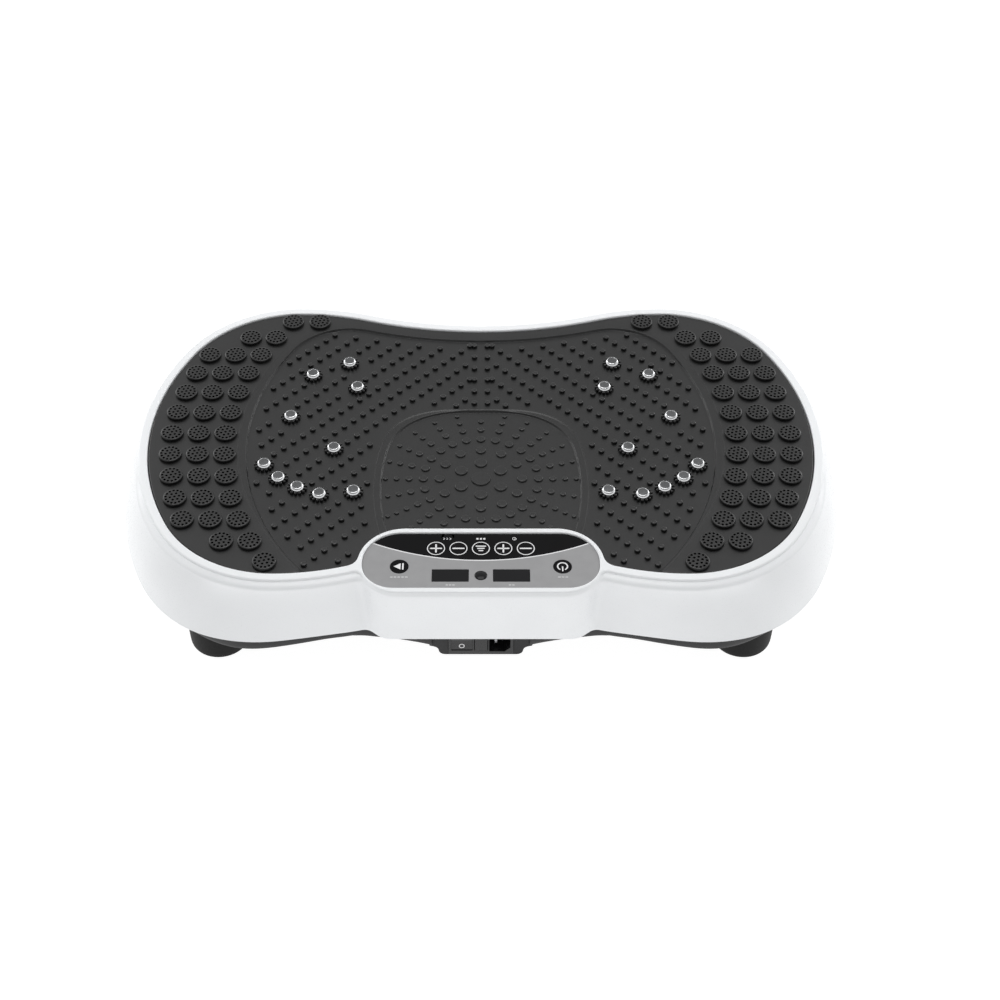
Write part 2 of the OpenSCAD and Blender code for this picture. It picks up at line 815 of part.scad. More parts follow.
module pivot_blocks() {
    color([0.45, 0.46, 0.48])
    for (s = [-1, 1])
        translate([0, s * hanger_y, 0])
            difference() {
                union() {
                    translate([-16, -14, frame_top])
                        cube([32, 28, 5]);
                    for (t = [-1, 1]) {
                        translate([-10, t * 10 - 3.5, frame_top])
                            cube([20, 7, axle_z - frame_top]);
                        along_y(0, t * 10 - 3.5, axle_z)
                            cylinder(r = 10, h = 7);
                    }
                }
                along_y(0, -20, axle_z)
                    cylinder(r = pivot_r + 0.02, h = 40);
            }
}

module pivot_pins() {
    color(steel)
    for (s = [-1, 1])
        along_y(0, s * hanger_y - 16, axle_z)
            cylinder(r = pivot_r, h = 32);
}

module bearing_blocks() {
    color([0.45, 0.46, 0.48])
    for (s = [-1, 1])
        difference() {
            union() {
                translate([cam_x - 22, s * bearing_y - 5, frame_top])
                    cube([44, 10, 5]);
                translate([cam_x - 15, s * bearing_y - 5, frame_top])
                    cube([30, 10, axle_z - frame_top]);
                along_y(cam_x, s * bearing_y - 5, axle_z)
                    cylinder(r = 16, h = 10);
            }
            along_y(cam_x, s * bearing_y - 6, axle_z)
                cylinder(r = 13, h = 12);
        }
}

module shaft_bearings() {
    color([0.7, 0.7, 0.72])
    for (s = [-1, 1])
        along_y(cam_x, s * bearing_y - 4, axle_z)
            tube(13 - 0.02, shaft_r + run_gap, 8);
}

module motor_can() {
    color([0.35, 0.36, 0.38])
    along_y(-motor_x, motor_y0, axle_z)
        difference() {
            union() {
                cylinder(r = motor_r, h = motor_y1 - motor_y0);
                translate([0, 0, motor_y1 - motor_y0])
                    cylinder(r = 7, h = 2);
            }
            translate([0, 0, 2])
                cylinder(r = motor_r - 2, h = motor_y1 - motor_y0 - 4);
            translate([0, 0, 1])
                cylinder(r = 3 + run_gap, h = 80);
        }
}

module motor_magnets() {
    color([0.2, 0.2, 0.22])
    for (s = [-1, 1])
        intersection() {
            along_y(-motor_x, motor_y0 + 8, axle_z)
                tube(motor_r - 2.02, 14.5, 32);
            translate([-motor_x - 12, motor_y0, s > 0 ? axle_z + 6 : axle_z - 30])
                cube([24, 60, 24]);
        }
}

module motor_bracket() {
    color([0.5, 0.51, 0.53])
    difference() {
        translate([-motor_x - 24, motor_y0 + 20, frame_top])
            cube([48, 12, 12]);
        along_y(-motor_x, motor_y0 - 5, axle_z)
            cylinder(r = motor_r + 0.02, h = 60);
    }
}

module drive_belt() {
    gap = 0.3;
    color([0.08, 0.08, 0.08])
    along_y(0, -belt_w / 2 + 0.5, axle_z)
        linear_extrude(belt_w - 1)
            difference() {
                belt_2d(gap + belt_t);
                belt_2d(gap);
            }
}

// Loop around both pulleys, grown by g
module belt_2d(g) {
    big = driven_r + g;
    small = motor_pulley_r + g;
    tilt = asin((big - small) / (cam_x + motor_x));
    polygon(concat(
        arc(cam_x, 0, big, -90 - tilt, 90 + tilt, 30),
        [[cam_x - big * sin(tilt), big * cos(tilt)]],
        arc(-motor_x, 0, small, 90 + tilt, 270 - tilt, 20),
        [[-motor_x - small * sin(tilt), -small * cos(tilt)]]));
}

// ---- mains inlet ----

// C14 socket plan, seen from the front, on its side: earth edge towards +X
module socket_2d(g) {
    polygon([[-7.6 - g, -12 - g], [4 - g, -12 - g], [8 + g, -8 - g], [8 + g, 8 + g], [4 - g, 12 + g],
        [-7.6 - g, 12 + g]]);
}

module inlet_module() {
    color([0.08, 0.08, 0.09])
    difference() {
        union() {
            translate([-inlet_w / 2, -housing_face - 1.5, inlet_z - inlet_h / 2])
                cube([inlet_w, 1.5, inlet_h]);
            translate([-inlet_w / 2 + 1, -housing_face - 0.5, inlet_z - inlet_h / 2 + 1.5])
                cube([inlet_w - 2, 30, inlet_h - 3]);
        }
        translate([socket_x, -housing_face + 18, inlet_z])
            rotate([90, 0, 0])
                linear_extrude(30)
                    socket_2d(0);
        translate([rocker_x - 7.8, -housing_face - 5, inlet_z - 11])
            cube([15.6, 20, 22]);
        translate([fuse_x - 4.8, -housing_face - 5, inlet_z - 11])
            cube([9.6, 31, 22]);
        for (p = pin_spots)
            translate([socket_x + p[0] - 1.02, -housing_face + 3.5, inlet_z + p[1] - 2.02])
                cube([2.04, 29, 4.04]);
        rocker_trunnions(1.5 + run_gap, 8.1);
    }
}

// Round ends of the rocker's axle, out to half from its middle
module rocker_trunnions(r, half) {
    translate([rocker_x - half, -housing_face + rocker_depth, inlet_z])
        rotate([0, 90, 0])
            cylinder(r = r, h = 2 * half);
}

module inlet_pins() {
    color([0.8, 0.7, 0.4])
    for (p = pin_spots)
        translate([socket_x + p[0] - 1, -housing_face + 3.5, inlet_z + p[1] - 2])
            cube([2, 29, 4]);
}

module rocker_switch() {
    color([0.1, 0.1, 0.11])
    union() {
        translate([rocker_x - 7.5, -housing_face + rocker_depth, inlet_z])
            rotate([rocker_tilt, 0, 0])
                rotate([90, 0, 90])
                    linear_extrude(15)
                        polygon([[-6.5, -9.6], [-4.6, 0], [-6.5, 9.6], [2.6, 8.6], [5.5, 0], [2.6, -8.6]]);
        rocker_trunnions(1.5, 7.95);
    }
}

module fuse_drawer() {
    color([0.1, 0.1, 0.11])
    difference() {
        translate([fuse_x - 4.5, -housing_face - 1.9, inlet_z - 10.7])
            cube([9, 26, 21.4]);
        translate([fuse_x - 3.2, -housing_face + 4, inlet_z - 10])
            cube([6.4, 21, 30]);
        translate([fuse_x - 3, -housing_face - 3, inlet_z + 8])
            cube([6, 2, 2]);
    }
}

module fuse_cartridge() {
    color([0.85, 0.87, 0.88])
    translate([fuse_x, -housing_face + 4.2, inlet_z])
        rotate([-90, 0, 0])
            cylinder(r = 2.5, h = 20);
}

// ---- electronics ----

module board_standoffs() {
    color([0.85, 0.85, 0.82])
    for (sx = [-1, 1])
        for (sy = [-1, 1])
            translate([control_x + sx * 30, sy * 36, tray_floor])
                cylinder(r = 3.5, h = 8);
}

module control_board() {
    color(board_green)
    difference() {
        translate([control_x - 35, -42, tray_floor + 8])
            cube([70, 84, board_t]);
        for (sx = [-1, 1])
            for (sy = [-1, 1])
                translate([control_x + sx * 30, sy * 36, tray_floor])
                    cylinder(r = 1.6, h = 20);
    }
}

module board_components() {
    top = tray_floor + 8 + board_t;
    color([0.15, 0.15, 0.3])
    translate([control_x - 28, -36, top])
        cube([26, 30, 24]);
    color([0.2, 0.2, 0.25])
    for (x = [control_x + 12, control_x + 26])
        translate([x, -24, top])
            cylinder(r = 6, h = 22);
    color([0.7, 0.7, 0.72])
    for (i = [0 : 4])
        translate([control_x - 6 + 8 * i, 6, top])
            cube([3, 24, 18]);
    color([0.1, 0.1, 0.1])
    translate([control_x - 28, 4, top])
        cube([16, 16, 4]);
}

module mains_wires() {
    color([0.35, 0.2, 0.1])
    for (i = [0 : 1])
        wire([[socket_x - 2.5, -housing_face + 33, inlet_z - 7 + 14 * i],
            [socket_x - 2.3, -110, inlet_z - 6 + 13.5 * i],
            [wire_gate_x - 3, -105, wire_gate_z - 3.5 + 6 * i],
            [wire_gate_x, -100, wire_gate_z - 2.5 + 5 * i],
            [34 + 4 * i, -82, 60 + 4 * i],
            [80, -66 - 4 * i, 60],
            [124, -64 - 4 * i, 61],
            [136 + 6 * i, -50, 65],
            [136 + 6 * i, -44, 65.5]], 1.3);
}

module motor_wires() {
    color([0.6, 0.1, 0.1])
    for (i = [0 : 1])
        wire([[-motor_x + 9 - 18 * i, motor_y0 - 0.5, axle_z],
            [-motor_x + 9 - 18 * i, motor_y0 - 7 - 2 * i, axle_z - 4],
            [-motor_x + 30 - 8 * i, motor_y0 - 8 - 4 * i, 60],
            [-30, -66 - 4 * i, 58.5],
            [0, -62 - 4 * i, 58],
            [80, -57.5 - 3.5 * i, 58],
            [122, -57.5 - 3.5 * i, 58],
            [150, -54 - 3.5 * i, 59],
            [160 + 6 * i, -48 - 3.5 * i, 61],
            [164 + 6 * i, -43.5, 64]], 1.1);
}

outer_shell();
deck_plate();
rubber_mat();
magnet_studs();
platform_frame();
deck_screws();
pivot_bushes();
console_panel();
display_windows();
receiver_window();
console_board();
display_modules();
tact_switches();
console_cable();
key_speed_up();
key_speed_down();
key_program();
key_time_up();
key_time_down();
key_start();
key_power();
cam_shaft();
cams();
follower_bearings();
driven_pulley();
motor_rotor();
motor_pulley();
rocker_switch();
fuse_drawer();
fuse_cartridge();
base_tray();
base_frame();
foot_front_left();
foot_front_right();
foot_rear_left();
foot_rear_right();
foot_screws();
pivot_blocks();
pivot_pins();
bearing_blocks();
shaft_bearings();
motor_can();
motor_magnets();
motor_bracket();
drive_belt();
inlet_module();
inlet_pins();
control_board();
board_components();
board_standoffs();
mains_wires();
motor_wires();
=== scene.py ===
import json
import math

import bmesh
import bpy
import numpy as np
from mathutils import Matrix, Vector
from mathutils.geometry import delaunay_2d_cdt


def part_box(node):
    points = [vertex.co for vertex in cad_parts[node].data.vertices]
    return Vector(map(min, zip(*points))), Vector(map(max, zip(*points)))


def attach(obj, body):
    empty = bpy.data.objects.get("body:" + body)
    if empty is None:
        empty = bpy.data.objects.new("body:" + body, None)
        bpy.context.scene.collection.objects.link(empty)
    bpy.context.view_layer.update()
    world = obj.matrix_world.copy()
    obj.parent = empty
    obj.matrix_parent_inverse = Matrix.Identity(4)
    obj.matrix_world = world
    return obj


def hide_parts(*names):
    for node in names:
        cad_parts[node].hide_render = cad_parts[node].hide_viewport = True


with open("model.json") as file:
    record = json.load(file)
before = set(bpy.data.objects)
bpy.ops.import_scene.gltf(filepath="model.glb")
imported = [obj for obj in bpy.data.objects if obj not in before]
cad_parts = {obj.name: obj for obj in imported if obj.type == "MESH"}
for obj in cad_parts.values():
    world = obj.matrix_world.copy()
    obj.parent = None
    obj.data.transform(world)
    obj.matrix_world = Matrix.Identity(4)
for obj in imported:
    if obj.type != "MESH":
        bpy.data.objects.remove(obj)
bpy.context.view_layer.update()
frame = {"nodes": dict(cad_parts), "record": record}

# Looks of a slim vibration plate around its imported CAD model.  Helpers work in millimetres in the
# row frame, and make_piece() turns the finished points into metres.
MM = 0.001


def box_mm(node):
    low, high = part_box(node)
    return np.array(low) / MM, np.array(high) / MM


# ---- driving dimensions ----
MAT_LOW, MAT_HIGH = box_mm("rubber_mat")
SHELL_LOW, SHELL_HIGH = box_mm("outer_shell")
TRAY_LOW = box_mm("base_tray")[0]
PANEL_LOW, PANEL_HIGH = box_mm("console_panel")
MAT_CUT = 0.1                        # how far the mat stays inside its nominal outline
HALF_W = MAT_HIGH[0] + MAT_CUT       # mat outline: half width, half depth at the lobes and at the waist
HALF_D = MAT_HIGH[1] + MAT_CUT
WAIST_D = HALF_D - 21.5              # half depth of the waist
SIDE_R, CORNER_R, LOBE_R = 195.0, 90.0, 180.0
MAT_BOTTOM = MAT_LOW[2]
MAT_TOP = MAT_BOTTOM + 6.0
RIM_TOP = SHELL_HIGH[2]
SHELL_BOTTOM = SHELL_LOW[2]
DECK_BOTTOM = MAT_BOTTOM - 6.0
MID_Z = MAT_TOP - 1.8                # level of the middle zone of the mat
CORE_Z = MAT_TOP - 3.4               # level of its central zone
PANEL_TOP = PANEL_HIGH[2]
SKIN_Z = PANEL_LOW[2]                # floor of the recess that holds the panel
SKIN_T = 2.5

# Mat outline arcs that follow from the driving dimensions
SIDE_CX = HALF_W - SIDE_R
CORNER_CY = HALF_D - CORNER_R
SIDE_A = math.asin(CORNER_CY / (SIDE_R - CORNER_R))
CORNER_CX = SIDE_CX + (SIDE_R - CORNER_R) * math.cos(SIDE_A)
LOBE_CY = HALF_D - LOBE_R
WAIST_K = WAIST_D - LOBE_CY
WAIST_R = (LOBE_R ** 2 - CORNER_CX ** 2 - WAIST_K ** 2) / (2 * (WAIST_K - LOBE_R))
WAIST_CY = WAIST_D + WAIST_R

# Console plan
PANEL_W, PANEL_REAR, PANEL_FRONT = 81.8, 102.4, 153.8
PANEL_REAR_R, PANEL_FRONT_R = 27.0, 22.0
OPENING_W, OPENING_REAR, OPENING_R = 85.7, 97.7, 33.0
KEYS = {
    "key_speed_up": "plus", "key_speed_down": "minus", "key_program": "bars", "key_time_up": "plus",
    "key_time_down": "minus", "key_start": "play", "key_power": "power"}
KEY_RING = 6.4                       # radius of a key's cap
KEY_HEAD = 0.12                      # how far it stands above the panel
WINDOW_W = 25.3
WINDOW_R = 0.5
FEET = ("foot_front_left", "foot_front_right", "foot_rear_left", "foot_rear_right")

STUDS = [(102, 81.5), (129.5, 67.5), (94.5, 53), (143, 20), (108.5, -15), (158.5, -32), (147, -46),
         (132.5, -56), (116.2, -63), (91.8, -60)]
DISC_ROWS = [   # distance from the middle line, place of the outermost disc, number of discs
    (0, 229.5, 3), (22.8, 228, 3), (45.6, 224.4, 3), (68, 219, 3), (89.5, 211.2, 3), (110.5, 181.3, 2)]
DISC_PITCH = 19.9
DISC_R = 8.5
DOT_PITCH = 9.45
CORE_CENTRE = np.array([0.0, -44.0])
CORE_RINGS = [   # radius of the ring, number of pads, diameter of a pad
    (16.5, 6, 9.7), (30, 12, 7.8), (41.9, 24, 6.8), (52.3, 24, 5.4), (61.3, 24, 4.4), (69.4, 24, 3.8),
    (76.5, 24, 3.4)]


def middle_of(node):
    """Middle of a CAD node's box in plan."""
    low, high = box_mm(node)
    return (low[0] + high[0]) / 2, (low[1] + high[1]) / 2


def window_boxes():
    """Plans of the two display windows, (x0, y0, x1, y1), left first."""
    low, high = box_mm("display_windows")
    return [(-high[0], low[1], WINDOW_W - high[0], high[1]),
            (high[0] - WINDOW_W, low[1], high[0], high[1])]


# ---- plan fields: signed distances, negative inside ----
def smin(a, b, k):
    """The smaller of a and b, blended over a width of k."""
    h = np.maximum(k - np.abs(a - b), 0) / k
    return np.minimum(a, b) - h * h * k / 4


def smax(a, b, k):
    return -smin(-a, -b, k)


def ramp(x, a, b):
    """0 at a, 1 at b, smooth in between."""
    t = np.clip((x - a) / (b - a), 0, 1)
    return t * t * (3 - 2 * t)


def plate_field(p):
    """Distance from the mat outline: four lobes, two sides and the waist between them."""
    x, y = np.abs(p[..., 0]), np.abs(p[..., 1])
    side = np.hypot(x - SIDE_CX, y) - SIDE_R
    corner = np.hypot(x - CORNER_CX, y - CORNER_CY) - CORNER_R
    lobe = np.hypot(x - CORNER_CX, y - LOBE_CY) - LOBE_R
    waist = WAIST_R - np.hypot(x, y - WAIST_CY)
    in_waist = -(WAIST_CY - LOBE_CY) * (x - CORNER_CX) - CORNER_CX * (y - LOBE_CY) > 0
    in_corner = (x - CORNER_CX) * math.sin(SIDE_A) - (y - CORNER_CY) * math.cos(SIDE_A) < 0
    return np.where(x < CORNER_CX, np.where(in_waist, waist, lobe), np.where(in_corner, corner, side))


def round_corner(a, b, r):
    """Distance to a region bounded by a < 0 and b < 0, with its corner rounded to radius r."""
    qa, qb = a + r, b + r
    return np.hypot(np.maximum(qa, 0), np.maximum(qb, 0)) + np.minimum(np.maximum(qa, qb), 0) - r


def console_field(p, half, r, front):
    """Console block of that half width, front depth and corner radius; it ends at the middle line."""
    return np.maximum(round_corner(np.abs(p[..., 0]) - half, -p[..., 1] - front, r), p[..., 1])


def opening_field(p):
    """Opening in the mat for the console, open towards the front."""
    return round_corner(np.abs(p[..., 0]) - OPENING_W, p[..., 1] + OPENING_REAR, OPENING_R)


def panel_field(p):
    sides = np.abs(p[..., 0]) - PANEL_W
    rear = round_corner(sides, p[..., 1] + PANEL_REAR, PANEL_REAR_R)
    front = round_corner(sides, -p[..., 1] - PANEL_FRONT, PANEL_FRONT_R)
    return np.where(p[..., 1] > -128, rear, front)


def mat_field(p):
    return smax(plate_field(p), -opening_field(p), 7)


def mid_field(p):
    """Edge of the middle zone: two side arcs, and a line along the rear edge of the mat."""
    x, y = np.abs(p[..., 0]), p[..., 1]
    side = np.hypot(x + 31.5, y + 3) - 205
    rear = np.where(y > 0, plate_field(p) + 10.5, -50)
    return smax(side, rear, 34)


def mid_line_field(p):
    """The thin outer line of the band round the middle zone."""
    y = p[..., 1]
    return mid_field(p) - 6 + 4 * ramp(-y, 20, 125)


def core_field(p):
    x, y = np.abs(p[..., 0]), p[..., 1]
    return smax(np.hypot(x + 122, y + 50) - 194.5, y - 27.8, 42)


def core_line_field(p):
    x, y = np.abs(p[..., 0]), p[..., 1]
    return smax(np.hypot(x + 122, y + 50) - 200, y - 29.2, 38)


def gradient(field, p, h=0.05):
    dx, dy = np.array([h, 0]), np.array([0, h])
    return np.stack([field(p + dx) - field(p - dx), field(p + dy) - field(p - dy)], -1) / (2 * h)


def settle(field, p, rounds=6):
    """Moves points along the gradient until they lie where field is zero."""
    for _ in range(rounds):
        g = gradient(field, p)
        p = p - (field(p) / np.maximum((g * g).sum(-1), 0.05))[:, None] * g
    return p


def turns(loop):
    """How far a closed loop turns at each of its points, in radians."""
    step = np.roll(loop, -1, 0) - loop
    heading = np.arctan2(step[:, 1], step[:, 0])
    return np.abs((heading - np.roll(heading, 1) + math.pi) % (2 * math.pi) - math.pi)


def along(loop, turn_weight):
    """Running cost along a closed loop: its length, and more of it where the loop bends."""
    length = np.hypot(*(np.roll(loop, -1, 0) - loop).T)
    turn = turns(loop)
    cost = length + turn_weight * (turn + np.roll(turn, -1)) / 2
    return np.concatenate([[0], np.cumsum(cost)])


def spread(loop, count, turn_weight=10.0):
    """count points along a closed loop, closer together where it bends."""
    total = along(loop, turn_weight)
    want = np.linspace(0, total[-1], count, endpoint=False)
    closed = np.vstack([loop, loop[:1]])
    return np.stack([np.interp(want, total, closed[:, k]) for k in (0, 1)], -1)


def trace(field, low, high, cell=2.5):
    """The loops where field is zero inside a box, longest first."""
    xs = np.arange(low[0], high[0] + cell, cell)
    ys = np.arange(low[1], high[1] + cell, cell)
    value = field(np.stack(np.meshgrid(xs, ys, indexing="ij"), -1))
    inside = value < 0
    place, links = {}, {}

    def cross(i, j, k, l, key):
        if key not in place:
            t = value[i, j] / (value[i, j] - value[k, l])
            place[key] = (xs[i] + t * (xs[k] - xs[i]), ys[j] + t * (ys[l] - ys[j]))
        return key

    mixed = (inside[:-1, :-1] != inside[1:, :-1]) | (inside[:-1, :-1] != inside[:-1, 1:])
    mixed |= inside[:-1, :-1] != inside[1:, 1:]
    for i, j in zip(*np.nonzero(mixed)):
        found = []
        sides = [((i, j), (i + 1, j), 0, (i, j)), ((i + 1, j), (i + 1, j + 1), 1, (i + 1, j)),
                 ((i, j + 1), (i + 1, j + 1), 0, (i, j + 1)), ((i, j), (i, j + 1), 1, (i, j))]
        for a, b, way, name in sides:
            if inside[a] != inside[b]:
                found.append(cross(*a, *b, (*name, way)))
        for a, b in zip(found[::2], found[1::2]):
            links.setdefault(a, []).append(b)
            links.setdefault(b, []).append(a)
    loops = []
    while links:
        start = next((k for k, v in links.items() if len(v) == 1), next(iter(links)))
        walk, here = [start], start
        while links.get(here):
            there = links[here].pop()
            links[there].remove(here)
            if not links[here]:
                del links[here]
            here = there
            walk.append(here)
        links.pop(here, None)
        loops.append(np.array([place[k] for k in walk]))
    return sorted(loops, key=len, reverse=True)


def loop_of(field, low, high, count, turn_weight=10.0):
    """The longest closed loop where field is zero, as count points that lie on it."""
    loop = trace(field, low, high)[0][:-1]
    for _ in range(3):
        loop = settle(field, spread(loop, count, turn_weight))
    return loop


def circle(cx, cy, r, count=24):
    a = np.linspace(0, 2 * math.pi, count, endpoint=False)
    return np.stack([cx + r * np.cos(a), cy + r * np.sin(a)], -1)


def rounded_rect(x0, y0, x1, y1, r, count=5):
    """Closed plan of a rectangle with rounded corners."""
    points = []
    for cx, cy, start in ((x1 - r, y0 + r, -90), (x1 - r, y1 - r, 0), (x0 + r, y1 - r, 90),
                          (x0 + r, y0 + r, 180)):
        for i in range(count + 1):
            a = math.radians(start + 90 * i / count)
            points.append((cx + r * math.cos(a), cy + r * math.sin(a)))
    return np.array(points)


def grown(loop, g):
    """A closed loop, counter-clockwise, moved outwards by g along its normals."""
    step = np.roll(loop, -1, 0) - np.roll(loop, 1, 0)
    normal = np.stack([step[:, 1], -step[:, 0]], -1)
    return loop + g * normal / np.linalg.norm(normal, axis=1)[:, None]


# ---- surfaces ----
def even_odd(points, rings):
    """True for each point that lies in an odd number of the rings."""
    hit = np.zeros(len(points), bool)
    for ring in rings:
        a, b = ring, np.roll(ring, -1, 0)
        for start in range(0, len(points), 2000):
            x, y = points[start:start + 2000, :1], points[start:start + 2000, 1:]
            spans = (a[None, :, 1] > y) != (b[None, :, 1] > y)
            with np.errstate(divide="ignore", invalid="ignore"):
                run, rise = (b - a).T
                at = a[None, :, 0] + (y - a[None, :, 1]) * run[None] / rise[None]
            hit[start:start + 2000] ^= ((spans & (x < at)).sum(1) % 2).astype(bool)
    return hit


class Surface:
    """Points in millimetres and faces, with a material number for each face."""

    def __init__(self):
        self.points, self.faces, self.marks = [], [], []

    def add(self, points):
        start = len(self.points)
        self.points.extend(map(tuple, points))
        return list(range(start, start + len(points)))

    def ring(self, plan, z):
        return self.add(np.column_stack([plan, np.broadcast_to(z, len(plan))]))

    def face(self, corners, mark=0):
        self.faces.append(tuple(corners))
        self.marks.append(mark)

    def strip(self, a, b, mark=0):
        for i in range(len(a)):
            j = (i + 1) % len(a)
            self.face((a[i], a[j], b[j], b[i]), mark)

    def strips(self, rings, mark=0):
        for a, b in zip(rings, rings[1:]):
            self.strip(a, b, mark)

    def cap(self, ring):
        self.face(ring)

    def fill(self, rings, lines=(), height=None, mark=None, axes=(0, 1)):
        """Triangles between closed rings, with extra lines of points in them; height gives their z."""
        index, coords, edges = [], [], []
        for ring in rings:
            start, n = len(coords), len(ring)
            coords += [Vector((self.points[i][axes[0]], self.points[i][axes[1]])) for i in ring]
            index += list(ring)
            edges += [(start + k, start + (k + 1) % n) for k in range(n)]
        for line in lines:
            start = len(coords)
            coords += [Vector(q) for q in line]
            index += [None] * len(line)
            edges += [(start + k, start + k + 1) for k in range(len(line) - 1)]
        out, _, faces, origin, _, _ = delaunay_2d_cdt(coords, edges, [], 0, 1e-5)
        flat = np.array([tuple(q) for q in out])
        corners = np.array([f for f in faces if len(f) == 3])
        centre = flat[corners].mean(1)
        loops = [np.array([tuple(self.points[i][k] for k in axes) for i in ring]) for ring in rings]
        keep = even_odd(centre, loops)
        marks = np.zeros(len(centre), int) if mark is None else mark(centre)
        names = {}
        for corner, number in zip(corners[keep], marks[keep]):
            ids = []
            for c in corner:
                if c not in names:
                    known = [index[o] for o in origin[c] if index[o] is not None]
                    if not known:
                        known = self.add([(*flat[c], float(height(flat[c][None])[0]))])
                    names[c] = known[0]
                ids.append(names[c])
            self.face(ids, int(number))

    def lathe(self, profile, sides, centre=(0, 0), closed=True):
        """Turns (radius, z) pairs round a vertical line; a radius of 0 is a single point.

        closed also joins the last ring to the first.
        """
        rings = []
        for r, z in profile:
            if r < 1e-6:
                rings.append(self.add([(*centre, z)]))
            else:
                rings.append(self.ring(circle(*centre, r, sides), z))
        pairs = list(zip(rings, rings[1:]))
        if closed:
            pairs.append((rings[-1], rings[0]))
        for a, b in pairs:
            if len(a) == 1 and len(b) == 1:
                continue
            for i in range(sides):
                j = (i + 1) % sides
                if len(a) == 1:
                    self.face((a[0], b[i], b[j]))
                elif len(b) == 1:
                    self.face((a[i], a[j], b[0]))
                else:
                    self.face((a[i], a[j], b[j], b[i]))

    def copy_of(self, other, places, mark=0):
        """Adds another surface once at each of these (x, y, z) places."""
        base = np.array(other.points)
        for place in places:
            start = len(self.points)
            self.points.extend(map(tuple, base + np.array(place)))
            for f, m in zip(other.faces, other.marks):
                self.face([start + k for k in f], m + mark)

    def moved(self, change):
        """Applies change to the array of all points."""
        self.points = [tuple(p) for p in change(np.array(self.points))]
        return self

    def slab(self, outer, holes, top, bottom, edge=0.4, hole_edge=None):
        """Closed plate of this plan with rounded upper edges; top and bottom are its heights."""
        hole_edge = edge if hole_edge is None else hole_edge
        upper, lower = [], []
        for k, loop in enumerate([outer, *holes]):
            size, side = (edge, -1) if k == 0 else (hole_edge, 1)
            rings = []
            for a in (90, 60, 30, 0):
                inset = size * (1 - math.cos(math.radians(a)))
                drop = size * (1 - math.sin(math.radians(a)))
                rings.append(self.ring(grown(loop, side * inset), top - drop))
            rings.append(self.ring(loop, bottom))
            self.strips(rings)
            upper.append(rings[0])
            lower.append(rings[-1])
        self.fill(upper)
        self.fill(lower)


def make_piece(name, surface, body, materials, replaces=(), sharp=38, weighted=True):
    """One Blender object from a surface, riding on a CAD body."""
    mesh = bpy.data.meshes.new(name)
    mesh.from_pydata([tuple(c * MM for c in p) for p in surface.points], [], surface.faces)
    mesh.validate()
    for m in materials if isinstance(materials, (list, tuple)) else [materials]:
        mesh.materials.append(m)
    if len(surface.marks) == len(mesh.polygons):
        mesh.polygons.foreach_set("material_index", np.array(surface.marks, np.int32))
    fix_normals(mesh)
    mesh.polygons.foreach_set("use_smooth", np.ones(len(mesh.polygons), bool))
    mesh.set_sharp_from_angle(angle=math.radians(sharp))
    obj = bpy.data.objects.new(name, mesh)
    bpy.context.scene.collection.objects.link(obj)
    if weighted:
        obj.modifiers.new("weighted", "WEIGHTED_NORMAL").keep_sharp = True
    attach(obj, body)
    if replaces:
        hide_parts(*replaces)
    return obj


def fix_normals(mesh):
    bm = bmesh.new()
    bm.from_mesh(mesh)
    bmesh.ops.recalc_face_normals(bm, faces=bm.faces)
    bm.to_mesh(mesh)
    bm.free()


# ---- materials ----
def material(name, color, roughness, metallic=0.0, grain=900.0, grain_depth=0.02, tint=0.06,
             rough_spread=0.06, bump_size=0.0002, stretch=None, **constants):
    """Procedural finish: noise drives small changes of colour and roughness, and a fine bump.

    constants go straight to the shader's sockets, with _ for a space in their names.
    """
    m = bpy.data.materials.new(name)
    m.use_nodes = True
    nodes, links = m.node_tree.nodes, m.node_tree.links
    shader = nodes["Principled BSDF"]
    shader.inputs["Metallic"].default_value = metallic
    for key, value in constants.items():
        shader.inputs[key.replace("_", " ")].default_value = value
    place = nodes.new("ShaderNodeTexCoord")
    source = place.outputs["Object"]
    if stretch:
        mapping = nodes.new("ShaderNodeMapping")
        mapping.inputs["Scale"].default_value = stretch
        links.new(source, mapping.inputs["Vector"])
        source = mapping.outputs["Vector"]

    def noise(scale, detail):
        n = nodes.new("ShaderNodeTexNoise")
        n.inputs["Scale"].default_value = scale
        n.inputs["Detail"].default_value = detail
        links.new(source, n.inputs["Vector"])
        return n.outputs["Fac"]

    broad, fine = noise(grain / 40, 3), noise(grain, 4)
    ramp_node = nodes.new("ShaderNodeValToRGB")
    low, high = [[min(c * (1 + s * tint), 1) for c in color] for s in (-1, 1)]
    ramp_node.color_ramp.elements[0].position = 0.35
    ramp_node.color_ramp.elements[1].position = 0.65
    ramp_node.color_ramp.elements[0].color = (*low, 1)
    ramp_node.color_ramp.elements[1].color = (*high, 1)
    links.new(broad, ramp_node.inputs["Fac"])
    links.new(ramp_node.outputs["Color"], shader.inputs["Base Color"])
    spread_node = nodes.new("ShaderNodeMapRange")
    spread_node.inputs["From Min"].default_value = 0.3
    spread_node.inputs["From Max"].default_value = 0.7
    spread_node.inputs["To Min"].default_value = max(roughness - rough_spread, 0.02)
    spread_node.inputs["To Max"].default_value = roughness + rough_spread
    links.new(fine, spread_node.inputs["Value"])
    links.new(spread_node.outputs["Result"], shader.inputs["Roughness"])
    bump = nodes.new("ShaderNodeBump")
    bump.inputs["Strength"].default_value = grain_depth
    bump.inputs["Distance"].default_value = bump_size
    links.new(fine, bump.inputs["Height"])
    links.new(bump.outputs["Normal"], shader.inputs["Normal"])
    return m


